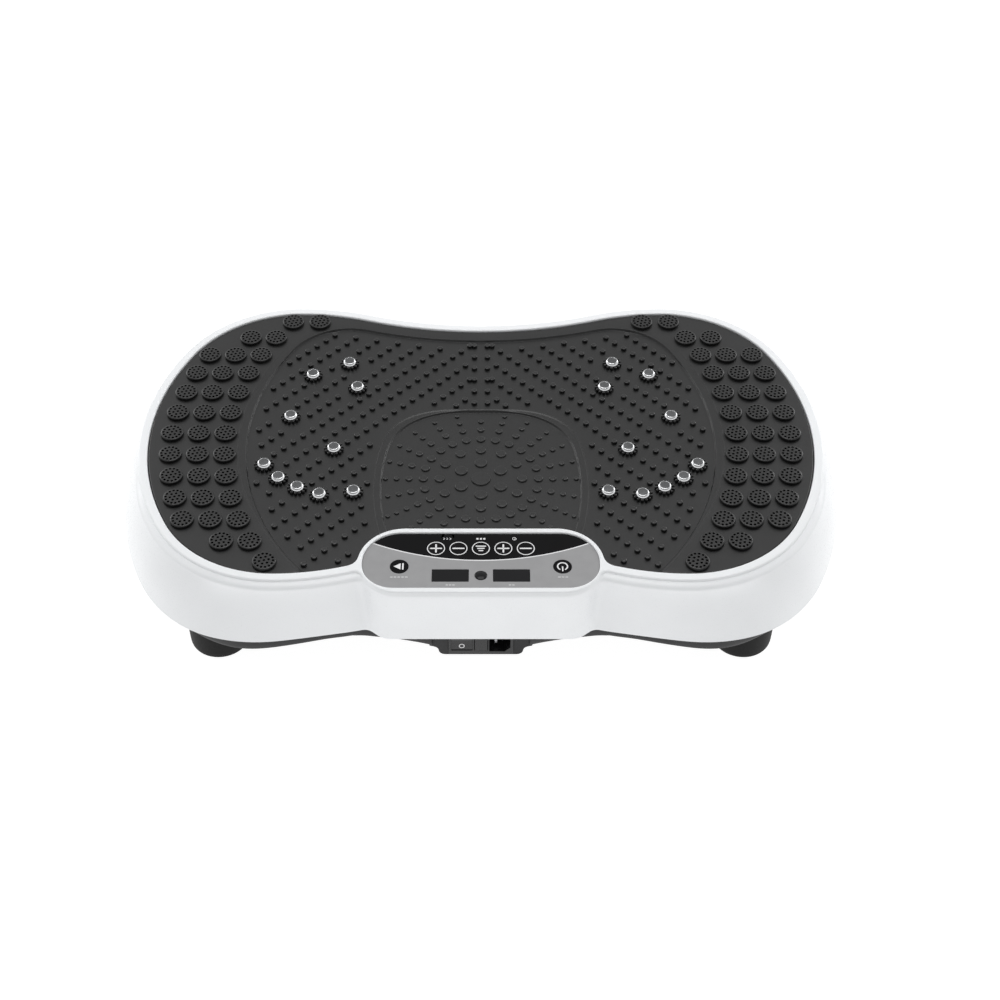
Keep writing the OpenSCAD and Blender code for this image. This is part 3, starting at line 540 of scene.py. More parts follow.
def wood(name):
    """Plywood deck: long stretched rings of two browns."""
    m = material(name, (0.42, 0.27, 0.14), 0.6, grain=260, grain_depth=0.25, tint=0.3, stretch=(0.15, 1, 1))
    nodes, links = m.node_tree.nodes, m.node_tree.links
    wave = nodes.new("ShaderNodeTexWave")
    wave.inputs["Scale"].default_value = 18
    wave.inputs["Distortion"].default_value = 6
    mapping = next(n for n in nodes if n.type == "MAPPING")
    links.new(mapping.outputs["Vector"], wave.inputs["Vector"])
    ramp_node = next(n for n in nodes if n.type == "VALTORGB")
    links.new(wave.outputs["Fac"], ramp_node.inputs["Fac"])
    return m


WHITE = material("white_abs", (0.86, 0.875, 0.89), 0.3, grain=1400, grain_depth=0.03, tint=0.01,
                 rough_spread=0.04, Specular_IOR_Level=0.45)
RUBBER = material("mat_rubber_black", (0.0038, 0.0039, 0.0041), 0.36, grain=1600, grain_depth=0.3,
                  tint=0.25, rough_spread=0.06, bump_size=0.0001, Specular_IOR_Level=0.52)
CHROME = material("chrome", (0.86, 0.87, 0.88), 0.1, 1.0, grain=500, grain_depth=0.02, tint=0.02,
                  rough_spread=0.04)
MAGNET = material("magnet_grey", (0.1, 0.102, 0.105), 0.42, 0.7, grain=2200, grain_depth=0.2, tint=0.15)
PANEL = material("panel_satin", (0.3, 0.3, 0.305), 0.42, grain=4200, grain_depth=0.08, tint=0.03,
                 rough_spread=0.05, Specular_IOR_Level=0.4)
GLOSS = material("gloss_black", (0.004, 0.004, 0.0045), 0.16, grain=1200, grain_depth=0.01, tint=0.1,
                 rough_spread=0.03, Specular_IOR_Level=0.1)
PRINT = material("white_print", (0.8, 0.8, 0.81), 0.45, grain=2600, grain_depth=0.05, tint=0.02)
WINDOW = material("dark_acrylic", (0.012, 0.012, 0.013), 0.1, grain=800, grain_depth=0.01, tint=0.1,
                  rough_spread=0.02, Specular_IOR_Level=0.15)
BASE = material("base_textured", (0.016, 0.016, 0.017), 0.5, grain=2400, grain_depth=0.4, tint=0.2,
                bump_size=0.00025, Specular_IOR_Level=0.3)
FOOT = material("foot_rubber_black", (0.006, 0.006, 0.006), 0.6, grain=1500, grain_depth=0.3, tint=0.2,
                Specular_IOR_Level=0.2)
SWITCH = material("switch_black", (0.016, 0.016, 0.017), 0.3, grain=1800, grain_depth=0.1, tint=0.15,
                  Specular_IOR_Level=0.45)
FLOOR = material("floor_white", (0.3, 0.3, 0.3), 0.85, grain=60, grain_depth=0.02, tint=0.004,
                 Emission_Color=(1, 1, 1, 1), Emission_Strength=0.95)

SLOTS = {
    "frame_steel": material("frame_paint", (0.03, 0.031, 0.033), 0.45, grain=700, grain_depth=0.2,
                            tint=0.15),
    "bright_steel": material("steel_turned", (0.55, 0.56, 0.58), 0.28, 1.0, grain=900, grain_depth=0.15,
                             stretch=(1, 6, 1)),
    "deck_wood": wood("deck_plywood"),
    "bush_brass": material("brass", (0.62, 0.44, 0.18), 0.3, 1.0, grain=900, grain_depth=0.1),
    "cast_grey": material("cast_metal", (0.24, 0.245, 0.25), 0.5, 0.8, grain=700, grain_depth=0.35,
                          tint=0.12),
    "board_green": material("circuit_board", (0.015, 0.11, 0.045), 0.4, grain=500, grain_depth=0.1,
                            tint=0.3),
    "component_dark": material("moulded_black", (0.02, 0.02, 0.024), 0.4, grain=1500, grain_depth=0.1,
                               tint=0.2),
    "belt_rubber": material("belt_black", (0.015, 0.015, 0.015), 0.7, grain=1800, grain_depth=0.4,
                            tint=0.2),
    "white_plastic": material("nylon_white", (0.78, 0.77, 0.73), 0.45, grain=900, grain_depth=0.05,
                              tint=0.03),
    "wire_sheath": material("wire_sheath", (0.2, 0.05, 0.03), 0.45, grain=1200, grain_depth=0.1,
                            tint=0.15),
    "fuse_glass": material("fuse_glass", (0.75, 0.78, 0.8), 0.12, grain=500, grain_depth=0.02, tint=0.02,
                           Transmission_Weight=0.6),
    "shell_white": WHITE, "mat_rubber": RUBBER, "chrome_stud": CHROME, "panel_grey": PANEL,
    "gloss_black": GLOSS, "base_plastic": BASE, "foot_rubber": FOOT}


def dress_cad_nodes():
    """The CAD pieces that stay get their slot's material and softened edges."""
    slot_of = {row["node"]: row["material_slot"] for row in frame["record"]["subparts"]}
    for name, node in frame["nodes"].items():
        node.data.materials.clear()
        node.data.materials.append(SLOTS[slot_of[name]])
        node.modifiers.new("weld", "WELD").merge_threshold = 0.00001
        bevel = node.modifiers.new("edges", "BEVEL")
        bevel.width = 0.0003
        bevel.segments = 2
        bevel.limit_method = "ANGLE"
        bevel.angle_limit = math.radians(42)


# ---- shell ----
CONSOLE_TABLE = np.array([   # height, half width, corner radius and front depth of the console block
    [70.0, 78.5, 16, 158.2], [88.0, 80.6, 20, 158.6], [104.0, 82.4, 24, 159.1], [114.8, 83.7, 27, 159.7],
    [116.6, 83.9, 27, 159.4], [117.6, 83.7, 27, 158.9], [118.2, 83.6, 27, 158.8], [118.8, 83.3, 27, 158.5],
    [119.2, 82.9, 27, 157.7]])
# Rim profiles, (height, distance out from the mat outline), from the rim top outwards and down:
# a groove and a band along the front, a plain round edge along the sides and the rear
RIM_FRONT = np.array([
    (119.2, 5.7), (119.12, 6.15), (118.9, 6.55), (118.5, 6.82), (118.0, 6.95), (117.72, 7.05),
    (117.6, 7.3), (117.62, 7.6), (117.55, 8.2), (117.3, 9.4), (116.95, 10.6), (116.5, 11.6),
    (115.9, 12.35), (115.2, 12.75), (114.4, 12.9)])
RIM_SIDE = np.array([
    (119.2, 5.7), (119.12, 6.1), (118.9, 6.45), (118.6, 6.72), (118.2, 6.95), (117.9, 7.08), (117.6, 7.22),
    (117.2, 7.45), (116.8, 7.7), (116.3, 8.0), (115.9, 8.25), (115.5, 8.5), (115.1, 8.75), (114.7, 9.0),
    (114.2, 9.4)])
WALL_HEIGHTS = [113.4, 112, 110, 107, 104, 100, 96, 92, 88, 84, 80, 76, 73, 71.2]
WALL_TOP = 114.4
# How far the wall has come out at each height, from 0 under the rim to 1 at the lower edge
WALL_ROUND = np.array([
    [70, 1], [80, 0.85], [90, 0.68], [97, 0.53], [104, 0.34], [109, 0.19], [WALL_TOP, 0]])
WALL_SCOOPED = np.array([
    [70, 1], [79, 0.74], [88, 0.5], [96, 0.28], [104, 0.1], [108, 0.05], [WALL_TOP, 0]])
WALL_MIDDLE = 90                     # height round which those two are fitted with a smooth curve
# Distance of the lower edges from the mat outline, by direction: degrees from the side, distance
FLARE = np.array([
    [0, 23.5], [8, 23.6], [14, 24.4], [20, 25.6], [27, 26.8], [32, 27.4], [36, 27.2], [39, 26.2],
    [42, 24.4], [45, 22.5], [48, 20.3], [51, 18.3], [54, 17.5], [57, 17.7], [61, 19.2], [90, 19.5]])
TRAY_FLARE = np.array([
    [0, 11.6], [20, 13.6], [30, 15], [35, 15.3], [39, 15.2], [41, 14.7], [43, 13], [44, 11.6],
    [46, 8.8], [49, 6.1], [52, 4.4], [56, 5.6], [60, 7], [90, 7]])
BAND_START, BAND_END = 5, 20         # where the rim's band fades in, in degrees from the side
BLEND = 7                            # width of the fillet between the lobes and the console block
OUTER_POINTS = 860


def console_at(z):
    return [np.interp(z, CONSOLE_TABLE[:, 0], CONSOLE_TABLE[:, k]) for k in (1, 2, 3)]


def sideways(angles):
    """Direction of each ray in degrees from the X axis: 0 at the sides, 90 at the front and the rear."""
    return np.degrees(np.arcsin(np.abs(np.sin(angles))))


def by_direction(table, angles, blur=1.6):
    """Value of a table of (degrees, value) for each ray, with its corners rounded off."""
    x = np.arange(-12, 102.1, 0.5)
    folded = np.where(x > 90, 180 - x, np.abs(x))
    weight = np.exp(-0.5 * (np.arange(-12, 13) * 0.5 / blur) ** 2)
    smooth = np.convolve(np.interp(folded, *table.T), weight / weight.sum(), "same")
    return np.interp(sideways(angles), x, smooth)


def front_share(angles, start, end):
    """0 for rays behind start degrees from the side, 1 for rays in front of end."""
    return ramp(sideways(angles) * -np.sign(np.sin(angles)), start, end)


def rim_field(z, d):
    """Outline of the shell at height z, d out from the mat outline; d may differ from point to point."""
    half, r, front = console_at(z)

    def field(p):
        return smin(plate_field(p) - d, console_field(p, half, r, front), BLEND)
    return field


def radial(field, angles):
    """Points on field = 0 along rays from the middle."""
    rays = np.stack([np.cos(angles), np.sin(angles)], -1)
    low, high = np.full(len(angles), 40.0), np.full(len(angles), 330.0)
    for _ in range(40):
        middle = (low + high) / 2
        inside = field(middle[:, None] * rays) < 0
        low, high = np.where(inside, middle, low), np.where(inside, high, middle)
    return low[:, None] * rays


def ray_angles(count):
    """Angles of the rays, closer together where the rim or the lower edge bends."""
    dense = np.linspace(-math.pi, math.pi, 6000, endpoint=False)
    cost = np.zeros(len(dense) + 1)
    for z, d in ((RIM_TOP, 6), (94, 15), (SHELL_BOTTOM, by_direction(FLARE, dense))):
        cost += along(radial(rim_field(z, d), dense), 22)
    want = np.linspace(0, cost[-1], count, endpoint=False)
    return np.interp(want, cost, np.append(dense, math.pi))


def wall_depth(z, angles):
    """Distance of the wall from the mat outline: scooped along the front, a round shoulder elsewhere."""
    scoop = front_share(angles, 33, 40)
    shares = [np.polyval(np.polyfit(table[:, 0] - WALL_MIDDLE, table[:, 1], 4), z - WALL_MIDDLE)
              for table in (WALL_ROUND, WALL_SCOOPED)]
    share = shares[0] + (shares[1] - shares[0]) * scoop
    top = RIM_SIDE[-1, 1] + (RIM_FRONT[-1, 1] - RIM_SIDE[-1, 1]) * front_share(angles, BAND_START, BAND_END)
    return top + (by_direction(FLARE, angles) - top) * share


def skin_holes():
    """Openings in the console skin under the keys, the windows and the receiver."""
    holes = []
    margin = 1.4
    for name in KEYS:
        holes.append(circle(*middle_of(name), 3.4))
    for x0, y0, x1, y1 in window_boxes():
        holes.append(rounded_rect(x0 + margin, y0 + margin, x1 - margin, y1 - margin, 0.8))
    holes.append(circle(0, middle_of("display_windows")[1], 3))
    return holes


def shell_piece():
    s = Surface()
    angles = ray_angles(OUTER_POINTS)
    banded = front_share(angles, BAND_START, BAND_END)
    outer = []
    for side, front in zip(RIM_SIDE, RIM_FRONT):
        z, d = side[:, None] + (front - side)[:, None] * banded
        outer.append(s.ring(radial(rim_field(z, d), angles), z))
    for z in WALL_HEIGHTS:
        outer.append(s.ring(radial(rim_field(z, wall_depth(z, angles)), angles), z))
    edge = SHELL_BOTTOM
    lowest = wall_depth(edge, angles)
    outer.append(s.ring(radial(rim_field(edge, lowest - 0.1), angles), edge + 0.35))
    outer.append(s.ring(radial(rim_field(edge, lowest - 0.5), angles), edge))
    s.strips(outer)

    def inner_field(z, d):
        half, r, front = console_at(z)
        return lambda p: smin(plate_field(p) - d, console_field(p, half - 3, max(r - 3, 8), front - 3), BLEND)
    inner = [outer[-1]]
    for z, thick in ((edge, 2.6), (edge + 0.4, 2.9), (80, 3.1), (88, 3.4), (97, 4.4)):
        inner.append(s.ring(radial(inner_field(z, wall_depth(z, angles) - thick), angles), z))
    inner.append(s.ring(radial(inner_field(103, 3), angles), 103))
    s.strips(inner)

    low, high = (-262, -175), (262, 160)
    lip = loop_of(lambda p: mat_field(p) - 0.3, low, high, 820, 26)
    ledge = loop_of(lambda p: mat_field(p) + 8, low, high, 420)
    recess = loop_of(lambda p: panel_field(p) - 0.2, (-95, -165), (95, -90), 260, 24)
    cavity = loop_of(lambda p: panel_field(p) + 5, (-95, -165), (95, -90), 180)

    lip_rings = [s.ring(grown(lip, g), z) for g, z in
                 ((1.0, RIM_TOP), (0.55, RIM_TOP - 0.1), (0.2, RIM_TOP - 0.38), (0.03, RIM_TOP - 0.8),
                  (0, RIM_TOP - 1.4), (0, DECK_BOTTOM))]
    s.strips(lip_rings)
    recess_rings = [s.ring(grown(recess, g), z) for g, z in
                    ((0.8, RIM_TOP), (0.42, RIM_TOP - 0.08), (0.14, RIM_TOP - 0.3), (0.0, RIM_TOP - 0.7),
                     (0.0, SKIN_Z))]
    s.strips(recess_rings)
    s.fill([outer[0], lip_rings[0], recess_rings[0]])

    ledge_top, ledge_low = s.ring(ledge, DECK_BOTTOM), s.ring(ledge, DECK_BOTTOM - 3)
    s.fill([lip_rings[-1], ledge_top])
    s.strip(ledge_top, ledge_low)
    cavity_low, cavity_top = s.ring(cavity, DECK_BOTTOM - 3), s.ring(cavity, SKIN_Z - SKIN_T)
    s.strip(cavity_low, cavity_top)
    s.fill([inner[-1], ledge_low, cavity_low])
    above, below = [], []
    for hole in skin_holes():
        above.append(s.ring(hole, SKIN_Z))
        below.append(s.ring(hole, SKIN_Z - SKIN_T))
        s.strip(above[-1], below[-1])
    s.fill([recess_rings[-1], *above])
    s.fill([cavity_top, *below])
    return make_piece("shell", s, "platform", WHITE, ["outer_shell"], sharp=50)


# ---- mat ----
LINE_HALF, LINE_DROP = 0.7, 0.3      # half width and depth of the thin lines beside the steps
BEAD_H = 0.35                        # height of the bead along each of those lines
STEP_HALF = 0.65                     # half width of the steps between the zones


def step_height(p):
    """Height of the mat's upper face: outer zone, middle zone and central zone with their lines."""
    y = p[..., 1]
    line = ramp(-mid_line_field(p), -LINE_HALF, LINE_HALF) * (1 - ramp(y, 55, 105))
    mid = ramp(-mid_field(p), -STEP_HALF, STEP_HALF)
    core_line = ramp(-core_line_field(p), -LINE_HALF, LINE_HALF)
    core = ramp(-core_field(p), -STEP_HALF, STEP_HALF)
    drop = LINE_DROP * line * (1 - mid) + (MAT_TOP - MID_Z) * mid
    beads = np.exp(-(mid_line_field(p) / LINE_HALF) ** 2) * (1 - ramp(y, 55, 105))
    beads += np.exp(-(core_line_field(p) / LINE_HALF) ** 2)
    top = MAT_TOP + BEAD_H * beads
    return top - drop - LINE_DROP * core_line * (1 - core) - (MID_Z - CORE_Z) * core


def clipped(loop, field, margin):
    """The stretches of a line that stay inside field = -margin."""
    inside = field(loop) < -margin
    parts, part = [], []
    for point, good in zip(loop, inside):
        if good:
            part.append(point)
        elif part:
            parts.append(part)
            part = []
    parts.append(part)
    return [np.array(q) for q in parts if len(q) > 2]


def crease_lines():
    """Lines of points that carry the steps of the mat."""
    lines = []
    for field, half in ((mid_line_field, LINE_HALF), (mid_field, STEP_HALF), (core_line_field, LINE_HALF),
                        (core_field, STEP_HALF)):
        for share in (-1.5, -0.75, 0, 0.75, 1.5) if half == LINE_HALF else (-1, -0.5, 0, 0.5, 1):
            offset = share * half
            shifted = (lambda f, o: lambda p: f(p) + o)(field, offset)
            for loop in trace(shifted, (-262, -150), (262, 150), 1.7):
                if len(loop) > 60:
                    lines += clipped(settle(shifted, loop, 4), mat_field, 1.7)
    return lines


def dome(r, h, sink, sides, crown=0.12, edge=0.35):
    """Low round bump of radius r and height h, with a rounded edge; it reaches sink below its place."""
    s = Surface()
    e = min(edge * h, r * 0.5)
    profile = [(0, h)]
    profile += [((r - e) * t * 0.92, h - crown * h * t * t) for t in (0.5, 0.8)]
    top = h - crown * h
    for a in (75, 50, 25, 0):
        turn = math.radians(a)
        profile.append((r - e + e * math.cos(turn) - 0.04 * r, top - e + e * math.sin(turn)))
    profile += [(r, 0), (r, -sink), (0, -sink)]
    s.lathe(profile, sides, closed=False)
    return s


def disc_shape():
    """Massage disc: low dome with a ring of fourteen holes, a ring of six and one in the middle."""
    s = Surface()
    h, hole_r, depth = 2.6, 0.95, 1.6

    def height(p):
        return h - 0.25 * (np.hypot(p[..., 0], p[..., 1]) / DISC_R) ** 2
    rim = []
    for inset, drop in ((0.8, 0), (0.45, 0.08), (0.16, 0.3), (0, 0.75), (0, 3.2)):
        r = DISC_R - inset
        z = height(np.array([[DISC_R - 0.8, 0.0]]))[0] - drop
        rim.append(s.ring(circle(0, 0, r, 48), z))
    s.strips(rim)
    s.cap(rim[-1])
    tops = []
    for ring_r, count, shift in ((6.35, 14, 0), (3.3, 6, 15), (0, 1, 0)):
        for i in range(count):
            a = math.radians(360 * i / count + shift)
            plan = circle(ring_r * math.cos(a), ring_r * math.sin(a), hole_r, 10)
            top = s.ring(plan, height(plan))
            low = s.ring(plan, height(plan) - depth)
            s.strip(top, low)
            s.cap(low)
            tops.append(top)
    guide = [np.vstack([g, g[:1]]) for g in (circle(0, 0, 4.85, 30), circle(0, 0, 1.7, 12))]
    s.fill([rim[0], *tops], lines=guide, height=height)
    return s


def disc_places():
    places = []
    for y, x, count in DISC_ROWS:
        for sign in ([1] if y == 0 else [-1, 1]):
            places += [(x - DISC_PITCH * i, sign * y) for i in range(count)]
    places += [(149.5, 130), (128.2, 130), (149.5, -130)]
    return [(side * x, y) for x, y in places for side in (-1, 1)]


def dot_places():
    """Small dots of the middle zone, on diagonal rows that mirror each other."""
    origin, row = np.array([149.0, 43.0]), 1.5 * DOT_PITCH
    across, down = np.array([-1, 1]) / math.sqrt(2), np.array([-1, -1]) / math.sqrt(2)
    places = []
    for j in range(-16, 23):
        for i in range(-24, 25):
            p = origin + i * DOT_PITCH * across + j * (row * down - DOT_PITCH * across)
            if p[0] > 8:
                places.append(p)
    places += [np.array([5, 103 - 13.4 * k]) for k in range(7)]
    p = np.array(places)
    keep = (mid_field(p) < -4.5) & (core_line_field(p) > 3.6) & (mat_field(p) < -6)
    keep &= np.min([np.hypot(*(p - np.array(s)).T) for s in STUDS], 0) > 10.5
    return [(side * x, y) for x, y in p[keep] for side in (-1, 1)]


def pad_places():
    """Round pads of the central zone, in rings: (x, y, diameter)."""
    places = []
    for ring_r, count, size in CORE_RINGS:
        for i in range(count):
            a = math.radians(90 + 360 * i / count)
            p = CORE_CENTRE + ring_r * np.array([math.cos(a), math.sin(a)])
            if core_field(p[None])[0] < -size / 2 - 0.8 and opening_field(p[None])[0] > size / 2 + 2.5:
                places.append((*p, size))
    return places


def mat_piece():
    s = Surface()
    loop = loop_of(lambda p: mat_field(p) + MAT_CUT, (-262, -175), (262, 160), 820, 26)
    rings = []
    for g, drop in ((-1.2, 0), (-0.6, 0.12), (-0.22, 0.4), (0, 0.9)):
        plan = grown(loop, g)
        rings.append(s.ring(plan, step_height(grown(loop, -1.2)) - drop))
    rings.append(s.ring(loop, MAT_BOTTOM))
    s.strips(rings)
    s.fill([rings[0]], lines=crease_lines(), height=step_height)
    s.cap(rings[-1])
    s.copy_of(disc_shape(), [(*p, MAT_TOP) for p in disc_places()])
    s.copy_of(dome(2.25, 2.2, 0.6, 20, crown=0.05, edge=0.25), [(*p, MID_Z) for p in dot_places()])
    s.copy_of(dome(7.3, 1.15, 0.6, 40), [(*CORE_CENTRE, CORE_Z)])
    for x, y, size in pad_places():
        s.copy_of(dome(size / 2, 1.25, 0.6, 24, edge=0.5), [(x, y, CORE_Z)])
    nubs, nub_ring = 13, 6.25
    places = []
    for x, y in STUDS:
        for side in (-1, 1):
            for i in range(nubs):
                a = 2 * math.pi * (i + 0.5) / nubs
                places.append((side * x + nub_ring * math.cos(a), y + nub_ring * math.sin(a), MID_Z))
    s.copy_of(dome(1.15, 2.9, 0.5, 10, edge=0.35), places)
    return make_piece("mat", s, "platform", RUBBER, ["rubber_mat"], sharp=60)


def stud_piece():
    """Chrome studs with a magnet in the top of each."""
    one = Surface()
    base = MID_Z
    one.lathe([(0, base - 0.8), (5.3, base - 0.8), (5.3, base + 2.1), (5.24, base + 2.5), (5.08, base + 2.95),
               (4.85, base + 3.35), (4.55, base + 3.75), (4.22, base + 4.08), (3.95, base + 4.28),
               (3.8, base + 4.3), (3.76, base + 4.2), (0, base + 4.2)], 40)
    cap = Surface()
    cap.lathe([(0, base + 4.5), (2.4, base + 4.48), (3.3, base + 4.4), (3.62, base + 4.24),
               (3.68, base + 3.9), (0, base + 3.9)], 36)
    both = Surface()
    both.copy_of(one, [(0, 0, 0)])
    both.copy_of(cap, [(0, 0, 0)], mark=1)
    s = Surface()
    s.copy_of(both, [(side * x, y, 0) for x, y in STUDS for side in (-1, 1)])
    return make_piece("studs", s, "platform", [CHROME, MAGNET], ["magnet_studs"], sharp=45)


# ---- console ----
CRESCENT_R, CRESCENT_CY, LINE_W = 182.2, 54.6, 0.85


def print_marks(p):
    """Material number of a place on the panel: 0 grey, 1 black crescent, 2 the line below it."""
    reach = np.hypot(p[..., 0], p[..., 1] - CRESCENT_CY)
    in_line = (reach < CRESCENT_R + LINE_W) & (reach >= CRESCENT_R)
    return np.where(reach < CRESCENT_R, 1, np.where(in_line, 2, 0))


def panel_piece():
    s = Surface()
    plan = loop_of(lambda p: panel_field(p) - 0.02, (-95, -165), (95, -90), 240, 20)
    holes = []
    for name in KEYS:
        holes.append(circle(*middle_of(name), KEY_RING + 0.12, 40))
    for x0, y0, x1, y1 in window_boxes():
        holes.append(rounded_rect(x0 - 0.1, y0 - 0.1, x1 + 0.1, y1 + 0.1, WINDOW_R))
    holes.append(circle(0, middle_of("display_windows")[1], 4.4, 32))
    rings = []
    for k, loop in enumerate([plan, *holes]):
        size, side = (0.35, -1) if k == 0 else (0.12, 1)
        three = [s.ring(grown(loop, side * size * (1 - math.cos(a))), PANEL_TOP - size * (1 - math.sin(a)))
                 for a in (math.pi / 2, math.pi / 4, 0)]
        three.append(s.ring(loop, SKIN_Z))
        mark = print_marks(loop.mean(0)[None])[0] if k else 0
        s.strips(three, int(mark))
        rings.append(three)
    arcs = []
    for r in (CRESCENT_R, CRESCENT_R + LINE_W):
        a = np.radians(np.linspace(-118, -62, 160))
        line = np.stack([r * np.cos(a), CRESCENT_CY + r * np.sin(a)], -1)
        arcs += clipped(line, panel_field, 0.45)
    s.fill([r[0] for r in rings], lines=arcs, height=lambda p: np.full(len(p), PANEL_TOP), mark=print_marks)
    s.fill([r[-1] for r in rings])
    finishes = [PANEL, GLOSS, PRINT]
    return make_piece("panel", s, "platform", finishes, ["console_panel"], sharp=30)


def bar(s, x0, y0, x1, y1, width, z, lift=0.06, mark=1):
    """Flat printed stroke with round ends."""
    a, b = np.array([x0, y0], float), np.array([x1, y1], float)
    way = math.atan2(*(b - a)[::-1])
    plan = []
    for end, start in ((b, -90), (a, 90)):
        for i in range(7):
            t = way + math.radians(start + 30 * i)
            plan.append(end + width / 2 * np.array([math.cos(t), math.sin(t)]))
    decal(s, np.array(plan), z, lift, mark)


def decal(s, plan, z, lift=0.06, mark=1, holes=()):
    """Thin raised print of this plan."""
    top = [s.ring(q, z + lift) for q in (plan, *holes)]
    low = [s.ring(q, z - 0.05) for q in (plan, *holes)]
    for a, b in zip(top, low):
        s.strip(a, b, mark)
    s.fill(top, mark=lambda c: np.full(len(c), mark))
    s.fill(low, mark=lambda c: np.full(len(c), mark))


def arc_stroke(s, cx, cy, r, width, a0, a1, z, mark=1):
    """Flat printed arc; angles are in degrees."""
    t = np.radians(np.linspace(a0, a1, 28))
    outside = np.stack([cx + (r + width / 2) * np.cos(t), cy + (r + width / 2) * np.sin(t)], -1)
    inside = np.stack([cx + (r - width / 2) * np.cos(t), cy + (r - width / 2) * np.sin(t)], -1)
    decal(s, np.vstack([outside, inside[::-1]]), z, mark=mark)


def symbol(s, kind, cx, cy, z):
    """The key's printed sign, as seen by a person who stands on the plate."""
    if kind in ("plus", "minus"):
        bar(s, cx - 3.7, cy, cx + 3.7, cy, 1.15, z)
    if kind == "plus":
        bar(s, cx, cy - 3.5, cx, cy - 0.8, 1.15, z)
        bar(s, cx, cy + 0.8, cx, cy + 3.5, 1.15, z)
    if kind == "bars":
        for k, half in ((-1, 1.2), (0, 2.2), (1, 3.2)):
            bar(s, cx - half, cy + 2.1 * k, cx + half, cy + 2.1 * k, 1.0, z)
    if kind == "play":
        decal(s, np.array([[cx - 3.9, cy], [cx + 0.9, cy - 2.9], [cx + 0.9, cy + 2.9]]), z)
        bar(s, cx + 2.5, cy - 2.5, cx + 2.5, cy + 2.5, 1.1, z)
    if kind == "power":
        arc_stroke(s, cx, cy, 3.4, 0.95, -62, 242, z)
        bar(s, cx, cy - 4.1, cx, cy - 0.4, 0.95, z)


def key_pieces():
    stem, under = 3.0, PANEL_TOP - 0.42
    for name, kind in KEYS.items():
        cx, cy = middle_of(name)
        foot, top = box_mm(name)[0][2], PANEL_TOP + KEY_HEAD
        s = Surface()
        s.lathe([(0, top), (3.2, top), (5.45, top), (KEY_RING - 0.25, top), (KEY_RING - 0.07, top - 0.08),
                 (KEY_RING, top - 0.28), (KEY_RING, under), (stem, under), (stem, foot), (0, foot)],
                48, (cx, cy))
        if kind not in ("play", "power"):
            decal(s, circle(cx, cy, KEY_RING - 0.16, 48), top, holes=[circle(cx, cy, KEY_RING - 0.78, 48)])
        symbol(s, kind, cx, cy, top)
        make_piece(name + "_cap", s, name, [GLOSS, PRINT], [name], sharp=30)


def label_piece():
    """Neutral printed signs beside the keys and the windows."""
    s = Surface()
    z, left, right, row = PANEL_TOP, -23.4, 23.4, -107.5
    for k in (-1, 0, 1):
        x = left + 2.2 * k
        bar(s, x - 0.5, row - 0.8, x + 0.5, row, 0.38, z, mark=0)
        bar(s, x + 0.5, row, x - 0.5, row + 0.8, 0.38, z, mark=0)
    arc_stroke(s, right, row, 1.25, 0.38, 0, 352, z, mark=0)
    bar(s, right, row, right, row - 0.8, 0.34, z, mark=0)
    bar(s, right, row, right + 0.6, row, 0.34, z, mark=0)
    for k in (-1, 0, 1):
        decal(s, rounded_rect(2.4 * k - 0.75, row - 0.75, 2.4 * k + 0.75, row + 0.75, 0.25, 3), z, mark=0)
    # rows of dashes: middle, depth, pitch, half length of a dash, number
    for cx, y, pitch, half, count in ((-56.2, -143.6, 2.56, 0.75, 5), (56.2, -143.6, 7.6 / 3, 0.75, 3),
                                      (-21, -150.9, 2.3, 0.6, 3), (21, -150.9, 2.3, 0.6, 2)):
        for k in range(count):
            x = cx + pitch * (k - (count - 1) / 2)
            bar(s, x - half, y, x + half, y, 0.5, z, mark=0)
    make_piece("panel_signs", s, "platform", PRINT, sharp=30, weighted=False)


def window_pieces():
    for name, box in zip(("window_left", "window_right"), window_boxes()):
        s = Surface()
        s.slab(rounded_rect(*box, WINDOW_R), [], PANEL_TOP - 0.08, SKIN_Z + 0.02, 0.25)
        make_piece(name, s, "platform", WINDOW, ["display_windows"], sharp=30)
    s = Surface()
    z = PANEL_TOP
    s.lathe([(0, z + 0.45), (1.5, z + 0.4), (2.8, z + 0.2), (3.7, z - 0.08), (4.1, z - 0.25),
             (4.28, z - 0.5), (4.3, SKIN_Z + 0.02), (0, SKIN_Z + 0.02)], 40,
            (0, middle_of("display_windows")[1]))
    make_piece("receiver_lens", s, "platform", WINDOW, ["receiver_window"])


# ---- base ----
HOUSING_HALF, HOUSING_FACE, HOUSING_BOTTOM, HOUSING_REAR = 28.6, 147.0, TRAY_LOW[2], 99.0
TRAY_BOTTOM = HOUSING_BOTTOM + 9
INLET_LOW, INLET_HIGH = box_mm("inlet_module")
INLET_Z = (INLET_LOW[2] + INLET_HIGH[2]) / 2
# Front edge of the tray over the inlet: distance from the middle, depth
BULGE = np.array([
    [0, 145], [29.5, 145], [31.5, 147.2], [34.4, 148], [43, 145.7], [51.6, 143.8], [60.2, 142.1],
    [68.8, 140.9], [77.4, 139.8], [90, 138], [105, 120]])
BULGE_HALF = 110                     # the bulge has run out into the lobes there


BAY_REAR, BAY_HALF, BAY_SLANT = 116, 22, 0.3   # recess of the tray round the inlet module


def tray_field(d, grow):
    """Outline of the tray, d out from the mat outline, with its bulge to the inlet moved out by grow."""
    def field(p):
        x = np.abs(p[..., 0])
        bulge = np.maximum(-p[..., 1] - np.interp(x, *BULGE.T) - grow, np.maximum(x - BULGE_HALF, p[..., 1]))
        bay = np.maximum(x - BAY_HALF - BAY_SLANT * (-p[..., 1] - BAY_REAR), p[..., 1] + BAY_REAR)
        return np.maximum(smin(plate_field(p) - d, bulge, 3), -bay)
    return field


